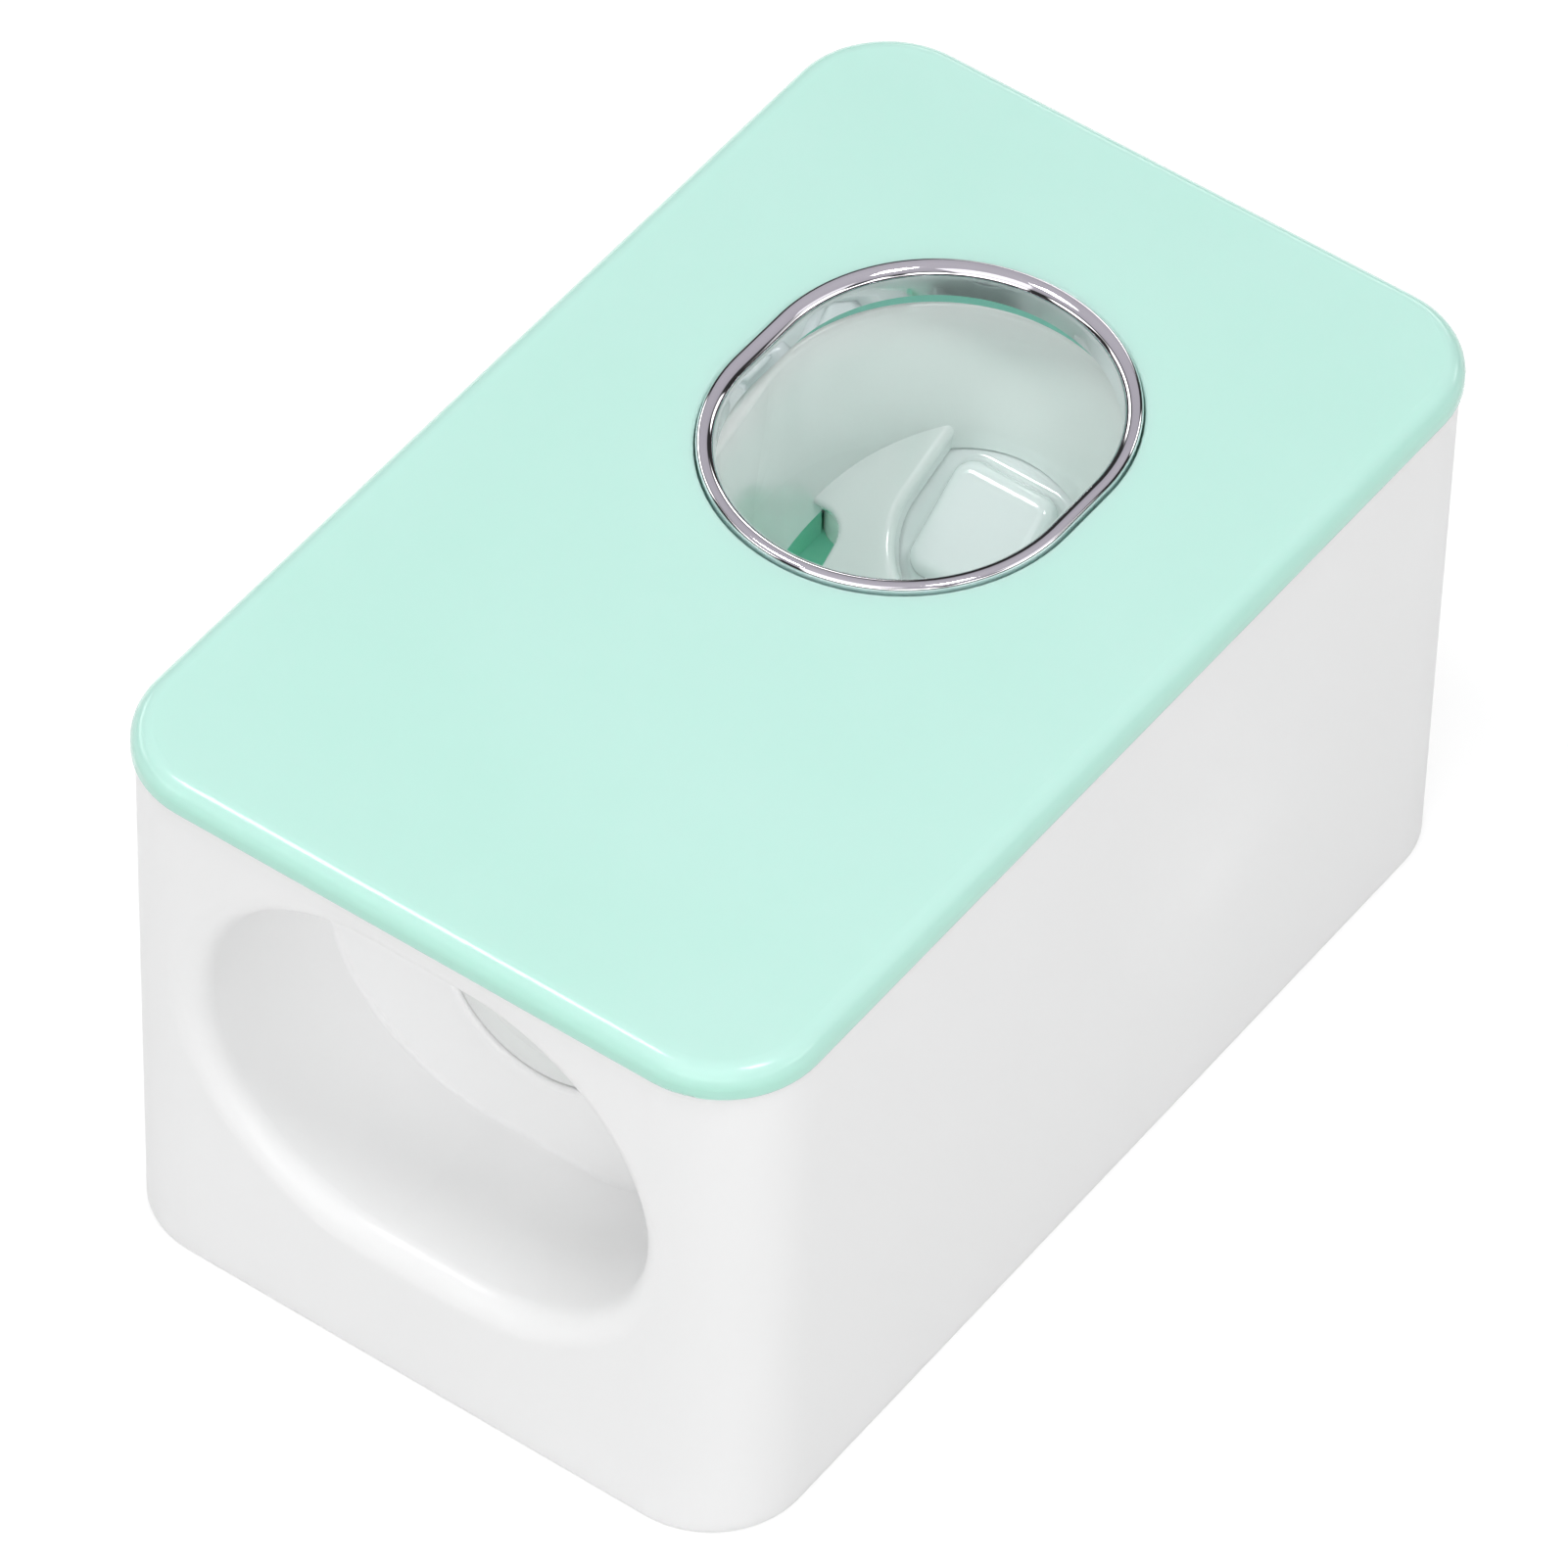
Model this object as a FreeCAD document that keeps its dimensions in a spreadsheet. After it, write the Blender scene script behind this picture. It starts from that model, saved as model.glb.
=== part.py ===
import FreeCAD, Part
import math
import os
import re

import Sketcher
from FreeCAD import Vector

# Wall-mounted push-in toothpaste dispenser, lying on its back, in millimetres.
# X runs across, Y from the tube recess (-Y) to the brush opening (+Y), and Z from the back, which
# goes against the wall, to the front cover. The origin is the middle of the back face.
# A brush pushed in at the front swings the lever about its pin, the lever's nose lifts the plunger
# in the pump, and the paste leaves through the nozzle. The spring brings all of it back.

SIZES = {
    # Front cover and outer shell
    "overall_width": 74.0,
    "overall_length": 120.0,
    "overall_height": 63.5,
    "cover_rim_height": 3.4,
    "cover_top_thickness": 2.4,
    "cover_overhang": 0.4,
    "cover_corner_radius": 10.5,
    "cover_edge_radius": 2.0,
    "cover_lower_edge_radius": 0.5,
    "shell_wall": 2.2,
    "lip_depth": 3.6,
    "lip_thickness": 1.6,
    "lip_clearance": 0.2,
    "lip_side_length": 44.0,
    "lip_end_length": 34.0,
    "lip_corner_start": 18.0,
    "lip_corner_length": 6.0,
    # Tube recess and the socket in its floor
    "tube_axis_share": 0.6,
    "recess_side_margin": 1.5,
    "recess_margin": 4.0,
    "recess_straight": 0.5,
    "recess_depth": 18.5,
    "recess_taper": 0.8,
    "recess_lip_radius": 2.7,
    "recess_wall": 2.0,
    "recess_floor": 2.5,
    "socket_radius": 10.5,
    "socket_edge_radius": 0.5,
    "collar_wall": 2.0,
    "collar_length": 3.5,
    "ledge_radius": 8.5,
    "ledge_thickness": 1.5,
    # Inlet seal and flap valve
    "seal_clearance": 0.15,
    "seal_sink": 0.6,
    "neck_radius": 6.0,
    "neck_length": 4.5,
    "neck_lead_in": 1.6,
    "seat_radius": 3.8,
    "seal_spigot_length": 2.3,
    "valve_thickness": 0.9,
    "valve_clearance": 0.1,
    "flap_radius": 4.1,
    "flap_slit": 0.35,
    "flap_hinge_width": 2.6,
    # Brush opening and its ring
    "opening_from_end": 42.6,
    "opening_half_width": 17.4,
    "opening_half_length": 20.8,
    "ring_lip_width": 1.3,
    "ring_proud": 0.7,
    "ring_lip_depth": 1.6,
    "ring_sleeve_depth": 2.6,
    "ring_sleeve_wall": 0.6,
    "ring_taper": 0.4,
    "ring_edge_radius": 0.6,
    "ring_clearance": 0.15,
    "opening_edge_radius": 0.35,
    # Brush chamber
    "rim_drop": 5.7,
    "rim_collar": 2.3,
    "rim_inner_radius": 1.2,
    "rim_outer_radius": 0.5,
    "plate_thickness": 2.0,
    "plate_clearance": 0.25,
    "plate_end_gap": 1.1,
    "bowl_wall": 1.8,
    "bowl_far_radius": 18.3,
    "bowl_far_offset": 4.3,
    "bowl_near_radius": 16.7,
    "bowl_near_offset": 5.7,
    "funnel_height": 8.5,
    "funnel_curve_drop": 1.8,
    "funnel_curve_height": 13.5,
    "well_far_radius": 17.4,
    "well_far_offset": 1.1,
    "well_near_radius": 16.3,
    "well_near_offset": 5.7,
    "chamber_floor_height": 18.5,
    "chamber_floor_wall": 2.2,
    # Sloping deck of the chamber, with the trough for the brush head and two side windows
    "ramp_angle": 35.6,
    "ramp_offset": 15.6,
    "ramp_depth": 19.6,
    "ramp_thickness": 2.2,
    "trough_radius": 8.3,
    "trough_reach": 6.8,
    "trough_top_radius": 6.6,
    "trough_top": 9.0,
    "trough_lip_radius": 0.9,
    "window_inner": 12.5,
    "window_width": 7.6,
    "window_top": 11.0,
    "window_length": 22.2,
    "window_corner_radius": 2.4,
    "window_lip_radius": 0.7,
    # Nozzle and duckbill outlet valve
    "boss_radius": 8.4,
    "boss_depth": 2.9,
    "boss_back": 3.2,
    "nozzle_radius": 5.0,
    "nozzle_bore": 3.7,
    "nozzle_flange_radius": 7.4,
    "nozzle_flange_thickness": 1.5,
    "nozzle_snout_length": 3.6,
    "nozzle_tip_radius": 4.5,
    "nozzle_clearance": 0.1,
    "bill_radius": 3.3,
    "bill_wall": 0.7,
    "bill_lip_half_width": 0.95,
    "bill_lip_half_length": 2.8,
    "bill_slit": 0.5,
    "bill_recess": 1.0,
    "bill_flange_thickness": 1.0,
    # Pump
    "pump_from_opening": 37.4,
    "pump_bore": 8.0,
    "pump_wall": 2.0,
    "pump_below_axis": 12.1,
    "pump_above_axis": 9.9,
    "pump_top_wall": 2.5,
    "inlet_tube_radius": 7.0,
    "inlet_port_radius": 4.6,
    "inlet_flange_radius": 11.0,
    "inlet_flange_thickness": 3.0,
    "outlet_tube_radius": 6.6,
    "outlet_port_radius": 3.0,
    "outlet_socket_depth": 2.2,
    "outlet_gap": 0.2,
    "lug_reach": 15.0,
    "lug_half_width": 3.6,
    "lug_thickness": 3.0,
    "cap_thickness": 2.5,
    "cap_spigot": 2.0,
    "cap_margin": 0.2,
    "running_clearance": 0.05,
    # Plunger and its seal
    "rod_radius": 2.5,
    "foot_radius": 6.5,
    "foot_thickness": 1.8,
    "piston_gap": 1.0,
    "piston_head_radius": 7.2,
    "piston_head_thickness": 1.6,
    "button_radius": 4.2,
    "button_thickness": 1.2,
    "cup_base_thickness": 2.0,
    "cup_skirt_height": 1.8,
    "cup_skirt_wall": 0.7,
    "cup_clearance": 0.1,
    # Return spring
    "spring_mean_radius": 4.5,
    "spring_wire_radius": 0.45,
    "spring_turns": 5.0,
    "spring_seat_gap": 0.02,
    # Lever and its pin
    "pivot_height": 9.5,
    "lever_arm": 14.0,
    "lever_travel": 14.0,
    "nose_radius": 2.0,
    "nose_gap": 0.3,
    "hub_radius": 4.2,
    "hub_half_width": 7.2,
    "web_half_width": 5.0,
    "arm_half_width": 4.0,
    "arm_half_height": 1.9,
    "deck_gap": 0.3,
    "deck_half_width": 9.5,
    "deck_thickness": 2.0,
    "deck_top": 4.6,
    "deck_bottom": 16.3,
    "deck_corner_radius": 4.0,
    "paddle_half_width": 5.8,
    "paddle_length": 12.2,
    "paddle_corner_radius": 2.2,
    "paddle_edge_radius": 1.5,
    "paddle_root_radius": 0.9,
    "web_toe_reach": 6.0,
    "web_toe_depth": 6.0,
    "web_knee_reach": 14.0,
    "web_knee_height": 1.0,
    "pin_radius": 2.0,
    "pin_overhang": 1.8,
    "clip_radius": 3.6,
    "clip_thickness": 0.7,
    "clip_groove_radius": 1.5,
    "clip_opening": 2.4,
    "clip_clearance": 0.05,
    # Rear cover, its ears and posts
    "rear_thickness": 2.5,
    "rear_clearance": 0.25,
    "rear_lip_height": 5.0,
    "rear_lip_thickness": 1.6,
    "rear_lip_inset": 0.4,
    "ear_gap": 0.3,
    "ear_thickness": 3.0,
    "ear_radius": 4.4,
    "ear_foot_half": 6.0,
    "stop_radius": 3.2,
    "stop_reach": 13.0,
    "stop_height": 3.9,
    # Screws and the columns that take them
    "screw_inset": 4.8,
    "corner_column_radius": 4.2,
    "post_radius": 3.2,
    "column_clearance": 0.4,
    "near_column_length": 13.0,
    "side_post_inset": 2.6,
    "side_post_from_plate_end": 6.0,
    "side_post_length": 14.0,
    "screw_radius": 1.25,
    "pilot_clearance": 0.05,
    "pilot_depth": 11.0,
    "screw_depth": 9.0,
    "screw_hole_radius": 1.6,
    "head_radius": 2.4,
    "head_thickness": 1.2,
    "head_sink": 1.3,
    "head_clearance": 0.3,
    "head_edge_radius": 0.4,
}

DERIVED = {
    "housing_height": "overall_height - cover_rim_height",
    "housing_half_x": "overall_width / 2 - cover_overhang",
    "housing_half_y": "overall_length / 2 - cover_overhang",
    "housing_radius": "cover_corner_radius - cover_overhang",
    "inner_half_x": "housing_half_x - shell_wall",
    "inner_half_y": "housing_half_y - shell_wall",
    "inner_radius": "housing_radius - shell_wall",
    # Tube recess
    "tube_axis_height": "housing_height * tube_axis_share",
    "recess_half_width": "housing_half_x - housing_radius - recess_side_margin",
    "recess_room": "min(tube_axis_height; housing_height - tube_axis_height)",
    "recess_half_height": "min(recess_room - recess_margin; recess_half_width - recess_straight)",
    # Along the flow, from the recess to the chamber
    "recess_floor_y": "recess_depth - housing_half_y",
    "floor_back_y": "recess_floor_y + recess_floor",
    "collar_end_y": "floor_back_y + collar_length",
    "ledge_y": "collar_end_y - ledge_thickness",
    "seal_face_y": "recess_floor_y + seal_sink",
    "seal_end_y": "ledge_y + seal_spigot_length",
    "valve_y": "seal_end_y + valve_clearance",
    "valve_pocket_y": "valve_y + valve_thickness",
    "opening_y": "overall_length / 2 - opening_from_end",
    "pump_y": "opening_y - pump_from_opening",
    "inlet_length": "pump_y - collar_end_y",
    "pump_radius": "pump_bore + pump_wall",
    "chamber_near_y": "opening_y - bowl_near_offset - bowl_near_radius",
    "boss_face_y": "chamber_near_y + boss_depth",
    "boss_back_y": "chamber_near_y - boss_back",
    "outlet_end_y": "boss_back_y - outlet_gap",
    "outlet_socket_y": "outlet_end_y - outlet_socket_depth",
    "nozzle_end_y": "outlet_socket_y + bill_flange_thickness + nozzle_clearance",
    "nozzle_tip_y": "boss_face_y + nozzle_flange_thickness + nozzle_snout_length",
    "bill_tip_y": "nozzle_tip_y - bill_recess",
    # Front levels
    "ring_top": "overall_height + ring_proud",
    "ring_seat": "overall_height - ring_lip_depth",
    "ring_bottom": "overall_height - ring_sleeve_depth",
    "rim_top": "overall_height - rim_drop",
    "plate_top": "rim_top - rim_collar",
    "plate_bottom": "plate_top - plate_thickness",
    "plate_near_y": "collar_end_y + plate_end_gap",
    "funnel_bottom": "plate_bottom - funnel_height",
    "funnel_curve_top": "rim_top - funnel_curve_drop",
    "funnel_curve_bottom": "funnel_curve_top - funnel_curve_height",
    # Deck of the chamber
    "ramp_y": "opening_y + ramp_offset",
    "ramp_z": "overall_height - ramp_depth",
    "ramp_slope": "tan(ramp_angle * 1 deg)",
    "deck_lift": "ramp_thickness + deck_gap",
    # Pump levels
    "pump_base": "tube_axis_height - pump_below_axis",
    "pump_top": "tube_axis_height + pump_above_axis",
    "cap_bottom": "pump_base - cap_thickness",
    "piston_bottom": "pump_base + cap_spigot + piston_gap",
    "piston_top": "piston_bottom + piston_head_thickness",
    "cup_radius": "pump_bore - running_clearance",
    # Lever
    "pivot_y": "pump_y + lever_arm",
    "nose_drop": "lever_arm * sin(lever_travel / 2 * 1 deg)",
    "nose_y": "pivot_y - lever_arm * cos(lever_travel / 2 * 1 deg)",
    "nose_z": "pivot_height - nose_drop",
    "foot_bottom": "nose_z + nose_radius + nose_gap",
    "foot_top": "foot_bottom + foot_thickness",
    "ear_inner": "hub_half_width + ear_gap",
    "ear_outer": "ear_inner + ear_thickness",
    "clip_inner": "ear_outer + clip_clearance",
    "pin_half_length": "clip_inner + clip_thickness + pin_overhang",
    "stop_y": "pivot_y + stop_reach",
    "knee_y": "pivot_y + web_knee_reach",
    "knee_z": "pivot_height + web_knee_height",
    # Screws
    "screw_x": "inner_half_x - screw_inset",
    "screw_y": "inner_half_y - screw_inset",
    "side_post_x": "inner_half_x - side_post_inset",
    "side_post_y": "plate_near_y + side_post_from_plate_end",
    "pilot_radius": "screw_radius + pilot_clearance",
}

WHOLE_TURN = 360.0
FUNNEL_SHARES = (1.0, 0.75, 0.5, 0.25, 0.0)
PLANE_TOLERANCE = 1e-4

doc = FreeCAD.newDocument("toothpaste_dispenser")
sheets = {"Sizes": SIZES, "Derived": DERIVED}


def formula(text):
    """The same formula with each size written as its sheet and name."""
    def full_name(match):
        word = match.group()
        owner = next((sheet for sheet, names in sheets.items() if word in names), None)
        return f"{owner}.{word}" if owner else word
    return re.sub(r"[a-z_]{3,}", full_name, str(text))


def fill_sheet(title, entries):
    """One row to a size: its name, and its number or formula under that name."""
    sheet = doc.addObject("Spreadsheet::Sheet", title)
    for row, (name, entry) in enumerate(entries.items(), start=1):
        sheet.set(f"A{row}", name)
        sheet.set(f"B{row}", str(entry) if title == "Sizes" else f"={formula(entry)}")
        sheet.setAlias(f"B{row}", name)
    doc.recompute()
    return sheet


size_sheet = fill_sheet("Sizes", SIZES)
derived_sheet = fill_sheet("Derived", DERIVED)


def number(text):
    """What a formula comes to now."""
    return float(derived_sheet.evalExpression(formula(text)))


def bind(item, place, text):
    item.setExpression(place, formula(text))


# Bodies, sketches and outlines


def new_body(label):
    body = doc.addObject("PartDesign::Body", label)
    body.Label = label
    return body


def sketch_on(body, role, x="0", y="0", lift="0"):
    """A sketch on one of the body's own planes, with its origin moved in and off that plane."""
    sketch = body.newObject("Sketcher::SketchObject", "outline")
    plane = next(item for item in body.Origin.OriginFeatures if item.Role == role)
    sketch.AttachmentSupport = [(plane, "")]
    sketch.MapMode = "FlatFace"
    bind(sketch, "AttachmentOffset.Base.x", x)
    bind(sketch, "AttachmentOffset.Base.y", y)
    bind(sketch, "AttachmentOffset.Base.z", lift)
    return sketch


def level_sketch(body, height):
    """A sketch seen from the front, at a height over the back face."""
    return sketch_on(body, "XY_Plane", lift=height)


def cross_sketch(body, y):
    """A sketch across the flow at y, with Z upward. Its normal is -Y."""
    return sketch_on(body, "XZ_Plane", lift=f"-({y})")


def side_sketch(body, x="0"):
    """A sketch seen from the side, with Y to the right and Z upward, at x."""
    return sketch_on(body, "YZ_Plane", lift=x)


def ramp_sketch(body, lift):
    """A sketch parallel to the chamber's deck: X across, the other axis up the slope."""
    sketch = level_sketch(body, "0")
    sketch.AttachmentOffset = FreeCAD.Placement(Vector(), FreeCAD.Rotation(Vector(1, 0, 0), 1.0))
    bind(sketch, "AttachmentOffset.Base.y", f"ramp_y - ({lift}) * sin(ramp_angle * 1 deg)")
    bind(sketch, "AttachmentOffset.Base.z", f"ramp_z + ({lift}) * cos(ramp_angle * 1 deg)")
    bind(sketch, "AttachmentOffset.Rotation.Angle", "ramp_angle * 1 deg")
    return sketch


def ramp_point(along, lift):
    """Side-view formulas for a place along the deck's slope and off its face."""
    y = f"ramp_y + ({along}) * cos(ramp_angle * 1 deg) - ({lift}) * sin(ramp_angle * 1 deg)"
    z = f"ramp_z + ({along}) * sin(ramp_angle * 1 deg) + ({lift}) * cos(ramp_angle * 1 deg)"
    return y, z


def dimension(sketch, text, *where):
    index = sketch.addConstraint(Sketcher.Constraint(*where, number(text)))
    sketch.setExpression(f"Constraints[{index}]", formula(text))


def place_point(sketch, item, point, x, y):
    dimension(sketch, x, "DistanceX", -1, 1, item, point)
    dimension(sketch, y, "DistanceY", -1, 1, item, point)


def join(sketch, first, second):
    sketch.addConstraint(Sketcher.Constraint("Coincident", first, 2, second, 1))


def arc(sketch, x, y, radius, start, end):
    """An arc about (x, y), from one angle to the other, anticlockwise in degrees."""
    ring = Part.Circle(Vector(number(x), number(y), 0), Vector(0, 0, 1), number(radius))
    piece = Part.ArcOfCircle(ring, math.radians(start), math.radians(end))
    item = sketch.addGeometry(piece)
    place_point(sketch, item, 3, x, y)
    dimension(sketch, radius, "Radius", item)
    return item


def line(sketch, start, end):
    return sketch.addGeometry(Part.LineSegment(start, end))


def close_with_lines(sketch, arcs):
    """Join each arc's end to the next arc's start."""
    for here, after in zip(arcs, arcs[1:] + arcs[:1]):
        start = sketch.getPoint(here, 2)
        end = sketch.getPoint(after, 1)
        side = line(sketch, start, end)
        join(sketch, here, side)
        join(sketch, side, after)


def level_end(sketch, item, point):
    sketch.addConstraint(Sketcher.Constraint("Horizontal", item, point, item, 3))


def plumb_end(sketch, item, point):
    sketch.addConstraint(Sketcher.Constraint("Vertical", item, point, item, 3))


def circle(sketch, x, y, radius):
    ring = Part.Circle(Vector(number(x), number(y), 0), Vector(0, 0, 1), number(radius))
    item = sketch.addGeometry(ring)
    place_point(sketch, item, 3, x, y)
    dimension(sketch, radius, "Radius", item)


def polygon(sketch, corners):
    points = [Vector(number(x), number(y), 0) for x, y in corners]
    sides = [line(sketch, a, b) for a, b in zip(points, points[1:] + points[:1])]
    for side, after, corner in zip(sides, sides[1:] + sides[:1], corners):
        join(sketch, side, after)
        place_point(sketch, side, 1, *corner)


def rectangle(sketch, x_low, y_low, x_high, y_high):
    polygon(sketch, [(x_low, y_low), (x_high, y_low), (x_high, y_high), (x_low, y_high)])


def rounded_box(sketch, half_x, half_y, radius, x="0", y="0"):
    """A rectangle with quarter-circle corners, about (x, y)."""
    right, left = f"{x} + ({half_x}) - ({radius})", f"{x} - ({half_x}) + ({radius})"
    top, bottom = f"{y} + ({half_y}) - ({radius})", f"{y} - ({half_y}) + ({radius})"
    centres = [(right, top), (left, top), (left, bottom), (right, bottom)]
    arcs = []
    for quarter, (centre_x, centre_y) in enumerate(centres):
        item = arc(sketch, centre_x, centre_y, radius, quarter * 90, quarter * 90 + 90)
        first, last = (level_end, plumb_end) if quarter % 2 == 0 else (plumb_end, level_end)
        first(sketch, item, 1)
        last(sketch, item, 2)
        arcs.append(item)
    close_with_lines(sketch, arcs)


def stadium(sketch, half_width, half_length, x="0", y="0", upright=True):
    """Two half circles and two straights, long in the sketch's second axis or in its first."""
    reach = f"(({half_length}) - ({half_width}))"
    if upright:
        ends, square, turn = [(x, f"{y} + {reach}"), (x, f"{y} - {reach}")], level_end, 0
    else:
        ends, square, turn = [(f"{x} + {reach}", y), (f"{x} - {reach}", y)], plumb_end, -90
    arcs = []
    for half, centre in enumerate(ends):
        item = arc(sketch, *centre, half_width, turn + half * 180, turn + half * 180 + 180)
        square(sketch, item, 1)
        square(sketch, item, 2)
        arcs.append(item)
    close_with_lines(sketch, arcs)


def egg(sketch, far_radius, far_y, near_radius, near_y):
    """Two arcs about the middle line, far one upward, joined by their outer tangents."""
    lean = math.degrees(math.asin(
        (number(far_radius) - number(near_radius)) / (number(far_y) - number(near_y))))
    far = arc(sketch, "0", far_y, far_radius, -lean, 180 + lean)
    near = arc(sketch, "0", near_y, near_radius, 180 + lean, WHOLE_TURN - lean)
    for here, after in ((far, near), (near, far)):
        side = line(sketch, sketch.getPoint(here, 2), sketch.getPoint(after, 1))
        sketch.addConstraint(Sketcher.Constraint("Tangent", here, 2, side, 1))
        sketch.addConstraint(Sketcher.Constraint("Tangent", side, 2, after, 1))


def arch(sketch, x, y, radius, foot_half, foot_y):
    """A half circle about (x, y) on two legs that end on a straight foot."""
    upward = number(foot_y) < number(y)
    crown = arc(sketch, x, y, radius, 0 if upward else 180, 180 if upward else WHOLE_TURN)
    level_end(sketch, crown, 1)
    level_end(sketch, crown, 2)
    side = -1 if upward else 1
    feet = [(f"{x} + {side} * ({foot_half})", foot_y), (f"{x} - {side} * ({foot_half})", foot_y)]
    spots = [Vector(number(a), number(b), 0) for a, b in feet]
    legs = [
        line(sketch, sketch.getPoint(crown, 2), spots[0]),
        line(sketch, spots[0], spots[1]),
        line(sketch, spots[1], sketch.getPoint(crown, 1)),
    ]
    chain = [crown] + legs
    for here, after in zip(chain, chain[1:] + chain[:1]):
        join(sketch, here, after)
    place_point(sketch, legs[1], 1, *feet[0])
    place_point(sketch, legs[1], 2, *feet[1])


# Solids from outlines


def pad(body, sketch, length, back=False, both=False):
    feature = body.newObject("PartDesign::Pad", "pad")
    feature.Profile = sketch
    bind(feature, "Length", length)
    feature.Reversed = back
    feature.SideType = "Symmetric" if both else "One side"
    doc.recompute()
    return feature


def check_cut(before, feature):
    doc.recompute()
    if feature.Shape.Volume > before - PLANE_TOLERANCE:
        raise RuntimeError(f"{feature.Label} removes nothing")


def pocket(body, sketch, length, back=False, both=False):
    """Cut against the sketch's normal, or along it when back is set."""
    before = body.Shape.Volume
    feature = body.newObject("PartDesign::Pocket", "pocket")
    feature.Profile = sketch
    bind(feature, "Length", length)
    feature.Reversed = back
    feature.SideType = "Symmetric" if both else "One side"
    check_cut(before, feature)
    return feature


def loft(body, kind, first, *others, ruled=True):
    before = body.Shape.Volume if kind == "Subtractive" else 0.0
    feature = body.newObject(f"PartDesign::{kind}Loft", "loft")
    feature.Profile = first
    feature.Sections = list(others)
    feature.Ruled = ruled
    doc.recompute()
    if kind == "Subtractive":
        check_cut(before, feature)
    return feature


def revolve(body, sketch, axis):
    feature = body.newObject("PartDesign::Revolution", "turned")
    feature.Profile = sketch
    feature.ReferenceAxis = (sketch, [axis])
    feature.Angle = WHOLE_TURN
    doc.recompute()
    return feature


def fillet(body, radius, wanted):
    """Round every edge of the body that the test picks."""
    base = body.Tip
    names = [f"Edge{i}" for i, edge in enumerate(base.Shape.Edges, start=1) if wanted(edge)]
    if not names:
        raise RuntimeError(f"{body.Label}: no edge to round")
    feature = body.newObject("PartDesign::Fillet", "fillet")
    feature.Base = (base, names)
    bind(feature, "Radius", radius)
    doc.recompute()
    return feature


def at_level(edge, height):
    level, box = number(height), edge.BoundBox
    return abs(box.ZMin - level) < PLANE_TOLERANCE and abs(box.ZMax - level) < PLANE_TOLERANCE


def across_at(edge, y):
    level, box = number(y), edge.BoundBox
    return abs(box.YMin - level) < PLANE_TOLERANCE and abs(box.YMax - level) < PLANE_TOLERANCE


def within(edge, half_x):
    reach, box = number(half_x), edge.BoundBox
    return box.XMin > -reach and box.XMax < reach


def on_deck(edge, lift="0"):
    """Whether the edge lies in a plane parallel to the deck."""
    level = number(f"ramp_z + ({lift}) / cos(ramp_angle * 1 deg)")
    slope, start = number("ramp_slope"), number("ramp_y")
    spots = edge.discretize(3)
    return all(abs(spot.z - level - (spot.y - start) * slope) < PLANE_TOLERANCE for spot in spots)


# Turned pieces: a profile of (along, radius) pairs about one of the object's three axes


def turned_on_pump(body, profile):
    """About the pump's axis, which stands up at pump_y."""
    sketch = sketch_on(body, "YZ_Plane", x="pump_y")
    polygon(sketch, [(radius, along) for along, radius in profile])
    return revolve(body, sketch, "V_Axis")


def turned_on_flow(body, profile):
    """About the line of the paste, which runs along Y at the tube's height."""
    sketch = sketch_on(body, "YZ_Plane", y="tube_axis_height")
    polygon(sketch, profile)
    return revolve(body, sketch, "H_Axis")


def turned_on_pivot(body, profile):
    """About the lever's pin, which lies across the object."""
    sketch = sketch_on(body, "XZ_Plane", y="pivot_height", lift="-pivot_y")
    polygon(sketch, profile)
    return revolve(body, sketch, "H_Axis")


def screw_at(body, x, y, head_side, shank_end):
    """A flat-headed screw along Z: its head's outer face and the end of its shank are heights."""
    way = "+" if number(shank_end) > number(head_side) else "-"
    sketch = sketch_on(body, "XZ_Plane", x=x, lift=f"-({y})")
    under_head = f"{head_side} {way} head_thickness"
    polygon(sketch, [
        ("0", head_side),
        ("head_radius - head_edge_radius", head_side),
        ("head_radius", f"{head_side} {way} head_edge_radius"),
        ("head_radius", under_head),
        ("screw_radius", under_head),
        ("screw_radius", f"{shank_end} + ({head_side} - ({shank_end})) / 10"),
        ("0", shank_end),
    ])
    return revolve(body, sketch, "V_Axis")


# Outer pieces


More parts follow.
